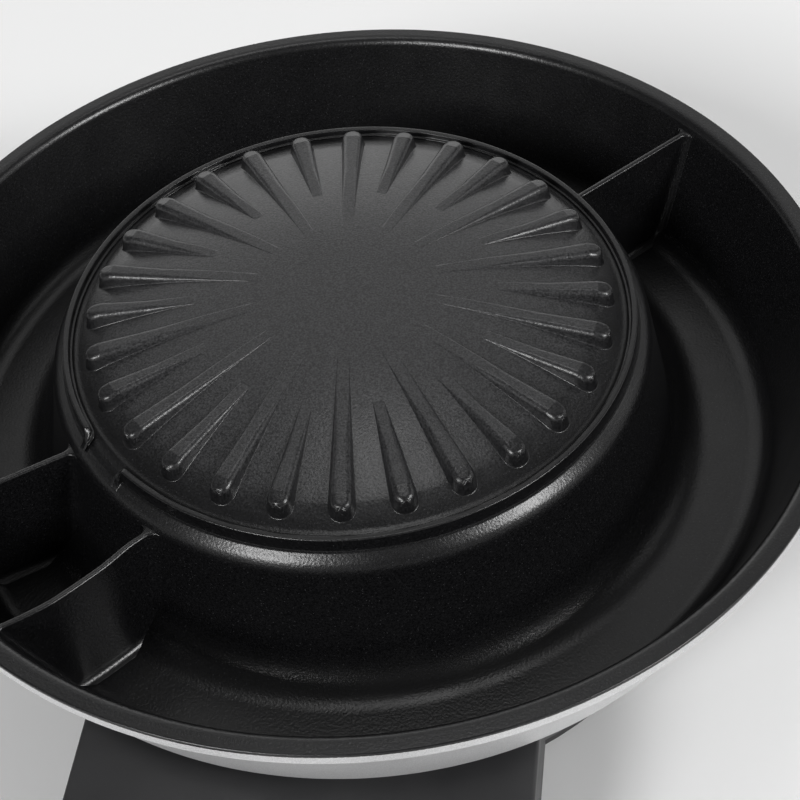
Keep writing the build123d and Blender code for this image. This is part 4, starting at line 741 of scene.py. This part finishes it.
def lug(name, side):
    """Cast lug for a handle, its corners rounded in plan and its edges rounded."""
    turns = np.linspace(0, math.pi / 2, LUG_EDGE_STEPS)
    steps = [(LUG_EDGE * (1 - math.sin(t)), LUG_LOW + LUG_EDGE * (1 - math.cos(t))) for t in turns]
    steps += [(LUG_EDGE * (1 - math.cos(t)), LUG_HIGH - LUG_EDGE * (1 - math.sin(t)))
              for t in turns]
    far, near, wide = LUG_END - LUG_CORNER, LUG_START + LUG_CORNER, LUG_HALF - LUG_CORNER
    centres = ((far, wide), (near, wide), (near, -wide), (far, -wide))
    rings = []
    for inset, z in steps:
        ring = []
        for quarter, (x, y) in enumerate(centres):
            for t in np.linspace(0, math.pi / 2, LUG_CORNER_STEPS):
                angle = t + quarter * math.pi / 2
                reach = LUG_CORNER - inset
                ring.append((side * (x + reach * math.cos(angle)), y + reach * math.sin(angle), z))
        rings.append(ring)
    count = len(rings[0])
    order = np.arange(count)[None]
    caps = np.concatenate([order[:, ::-1], order + (len(rings) - 1) * count])
    faces = [grid(len(rings), count, True), caps]
    if side < 0:
        faces = [rows[:, ::-1] for rows in faces]
    return build(name, np.array(rings).reshape(-1, 3), faces, PAINT)


def pan():
    """All pieces of the pan, which stand in for the frame's pan, hidden here."""
    pieces = [plate(), basin(), outside(), lip()]
    for name, angle in (("pan_divider_main", MAIN_ANGLE), ("pan_divider_box", BOX_ANGLE)):
        pieces.append(divider(name, [(r, angle) for r in DIVIDER_REACH]))
    pieces.append(divider("pan_divider_curved", CURVED_LINE))
    pieces += [lug("pan_lug_right", 1), lug("pan_lug_left", -1)]
    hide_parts("pan")


# Print on the panel and the knobs

PANEL_RISE = Vector((0, math.sin(PANEL_TILT), math.cos(PANEL_TILT)))
PANEL_NORMAL = Vector((0, -math.cos(PANEL_TILT), math.sin(PANEL_TILT)))
PANEL_CENTRE = Vector((0, panel_low.y / MM + PANEL_HALF * math.sin(PANEL_TILT),
                       panel_high.z / MM - PANEL_HALF * math.cos(PANEL_TILT)))


def on_panel(x, y, lift):
    """Place in metres of a point drawn on the panel, lifted off its face."""
    return (PANEL_CENTRE + Vector((x, 0, 0)) + PANEL_RISE * y + PANEL_NORMAL * lift) * MM


def add_bar(bm, x, angle, near, far, wide, low, high):
    """Thin bar that points away from a knob's axis, between two distances from it."""
    ca, sa = math.cos(angle), math.sin(angle)
    corners = [(near, -wide / 2), (far, -wide / 2), (far, wide / 2), (near, wide / 2)]
    under, over = ([bm.verts.new(on_panel(x + r * ca - off * sa, r * sa + off * ca, lift))
                    for r, off in corners] for lift in (low, high))
    bm.faces.new(over)
    bm.faces.new(under[::-1])
    for k in range(len(corners)):
        on = (k + 1) % len(corners)
        bm.faces.new((under[k], under[on], over[on], over[k]))


def add_number(bm, number, x, angle):
    """Raised digit beside a knob, upright on the panel."""
    text = bpy.data.curves.new("digit", "FONT")
    text.body = str(number)
    text.size, text.extrude = NUMBER_SIZE, PRINT_LIFT / 2
    text.align_x, text.align_y = "CENTER", "CENTER"
    holder = bpy.data.objects.new("digit", text)
    bpy.context.scene.collection.objects.link(holder)
    digit = bpy.data.meshes.new_from_object(holder)
    for vert in digit.vertices:
        vert.co = on_panel(x + NUMBER_R * math.cos(angle) + vert.co.x,
                           NUMBER_R * math.sin(angle) + vert.co.y, PRINT_LIFT / 2 + vert.co.z)
    bm.from_mesh(digit)
    bpy.data.objects.remove(holder)


def printed(name, bm, body):
    """Finished print piece from its mesh."""
    mesh = bpy.data.meshes.new(name)
    bm.to_mesh(mesh)
    bm.free()
    mesh.materials.append(PRINT)
    piece = bpy.data.objects.new(name, mesh)
    bpy.context.scene.collection.objects.link(piece)
    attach(piece, body)


def dials():
    """Numbers and marks beside each knob, where the panel has room, clockwise from the top."""
    bm = bmesh.new()
    for x in (-KNOB_X, KNOB_X):
        for step in range(1, DIAL_STEPS + 1):
            angle = math.radians(90 - step * DIAL_STEP)
            if abs(math.sin(angle)) > DIAL_ROOM:
                continue
            if step % 2:
                add_bar(bm, x, angle, MARK_START, MINOR_END, MINOR_WIDTH, 0, PRINT_LIFT)
            else:
                add_bar(bm, x, angle, MARK_START, MARK_END, MARK_WIDTH, 0, PRINT_LIFT)
                add_number(bm, step // 2, x, angle)
    printed("panel_print", bm, "base")


def pointer(name, x, body):
    """White line in a knob's pointer groove."""
    bm = bmesh.new()
    low = KNOB_TOP - GROOVE_DEPTH
    high = low + POINTER_LIFT
    add_bar(bm, x, math.pi / 2, POINTER_START, POINTER_END, POINTER_WIDTH, low, high)
    printed(name, bm, body)


# Floor, lights and camera, in metres

FLOOR_SIZE = 9
FLOOR_FAR = (0.27, 0.85)
FLOOR_FAR_SCALE = 0.3
FLOOR_GLOW = 0.72
WORLD_LEVEL = 0.10
HORIZON_LEVEL = 0.80
HORIZON_HEIGHTS = (0.09, 0.20)
AIM = Vector((0, AXIS_Y, 0.1))

# Soft boxes: name, azimuth and elevation as seen from the pan, distance, size and power in watts
LIGHTS = (
    ("back_box", 90, 18, 2.2, (2.6, 0.9), 9.5),
    ("back_high", 90, 48, 2.2, (2.4, 0.9), 4.4),
    ("overhead", 80, 78, 2.0, (0.6, 0.6), 3.8),
    ("right_box", 10, 30, 2.4, (0.8, 1.2), 3.5),
    ("front_left", -128, 34, 8.0, (2.18, 2.18), 425),
    ("front_right", -35, 34, 8.0, (2.18, 2.18), 400),
)

# Camera that matches the photograph: its turn about the pan, then its angles and its place before
# that turn. The tilt is from straight down, and the place is in millimetres over CAMERA_ZERO.
PAN_TURN = 13.2
CAMERA_HEADING = -2.0296
CAMERA_TILT = 41.822
CAMERA_ROLL = -5.5486
CAMERA_PLACE = (0, -419.5427, 413.8773)
CAMERA_ZERO = 124.03
FOCAL_PIXELS = 1700.432
PHOTO_PIXELS = 800
SENSOR_WIDTH = 36.0
CLIP_START = 0.01


def floor():
    """Pale table that glows softly far from the object, so that low views end in a pale horizon."""
    bpy.ops.mesh.primitive_plane_add(size=FLOOR_SIZE)
    table = bpy.context.object
    table.name = "table"
    g = Graph("table")
    start, end = FLOOR_FAR
    far = g.ramp(g.scaled(g.distance((0, 0, 0)), FLOOR_FAR_SCALE), (start, 0.0), (end, 1.0))
    near = g.mix(g.noise(3.0, 3.0), grey(0.80), grey(0.83))
    gloss = g.ramp(g.noise(6.0), (0.3, 0.55), (0.7, 0.65))
    material = g.done(g.mix(far, near, grey(0.10)), gloss, g.bump(g.noise(700.0), 0.03, 0.0002),
                      Emission_Color=(1, 1, 1, 1))
    g.feed(g.scaled(far, FLOOR_GLOW), g.bsdf.inputs["Emission Strength"])
    table.data.materials.append(material)


def soft_box(name, azimuth, elevation, distance, size, power):
    """Area light that faces the pan."""
    a, e = math.radians(azimuth + PAN_TURN), math.radians(elevation)
    way = Vector((math.cos(a) * math.cos(e), math.sin(a) * math.cos(e), math.sin(e)))
    data = bpy.data.lights.new(name, "AREA")
    data.shape = "RECTANGLE"
    data.size, data.size_y = size
    data.energy = power
    light = bpy.data.objects.new(name, data)
    bpy.context.scene.collection.objects.link(light)
    light.location = AIM + way * distance
    light.rotation_euler = (-way).to_track_quat("-Z", "Y").to_euler()


def surroundings():
    """Dim even light from above, with a pale band at the horizon and below it."""
    world = bpy.data.worlds.new("world")
    bpy.context.scene.world = world
    world.use_nodes = True
    nodes, links = world.node_tree.nodes, world.node_tree.links
    way = nodes.new("ShaderNodeSeparateXYZ")
    fade = nodes.new("ShaderNodeValToRGB")
    levels = zip(HORIZON_HEIGHTS, (HORIZON_LEVEL, WORLD_LEVEL))
    for stop, (height, level) in zip(fade.color_ramp.elements, levels):
        stop.position = height
        stop.color = (level, level, level, 1)
    links.new(nodes.new("ShaderNodeTexCoord").outputs["Generated"], way.inputs[0])
    links.new(way.outputs["Z"], fade.inputs["Fac"])
    links.new(fade.outputs["Color"], nodes["Background"].inputs["Color"])


def turned(angle, axis):
    """Turn about an axis by an angle."""
    return Matrix.Rotation(math.radians(angle), 4, axis)


def camera():
    """Camera at the photograph's place and angle."""
    place = turned(PAN_TURN, "Z") @ Vector(CAMERA_PLACE) * MM
    place += Vector((0, AXIS_Y, CAMERA_ZERO * MM))
    data = bpy.data.cameras.new("camera")
    data.sensor_width = SENSOR_WIDTH
    data.lens = FOCAL_PIXELS * SENSOR_WIDTH / PHOTO_PIXELS
    data.clip_start = CLIP_START
    holder = bpy.data.objects.new("camera", data)
    bpy.context.scene.collection.objects.link(holder)
    holder.matrix_world = (Matrix.Translation(place) @ turned(PAN_TURN + CAMERA_HEADING, "Z")
                           @ turned(CAMERA_TILT, "X") @ turned(CAMERA_ROLL, "Z"))
    bpy.context.scene.camera = holder
    bpy.context.scene.view_settings.view_transform = "Standard"


pan()
dials()
pointer("grill_pointer", -KNOB_X, "grill_control")
pointer("pot_pointer", KNOB_X, "pot_control")
finish_nodes()
floor()
for light in LIGHTS:
    soft_box(*light)
surroundings()
camera()
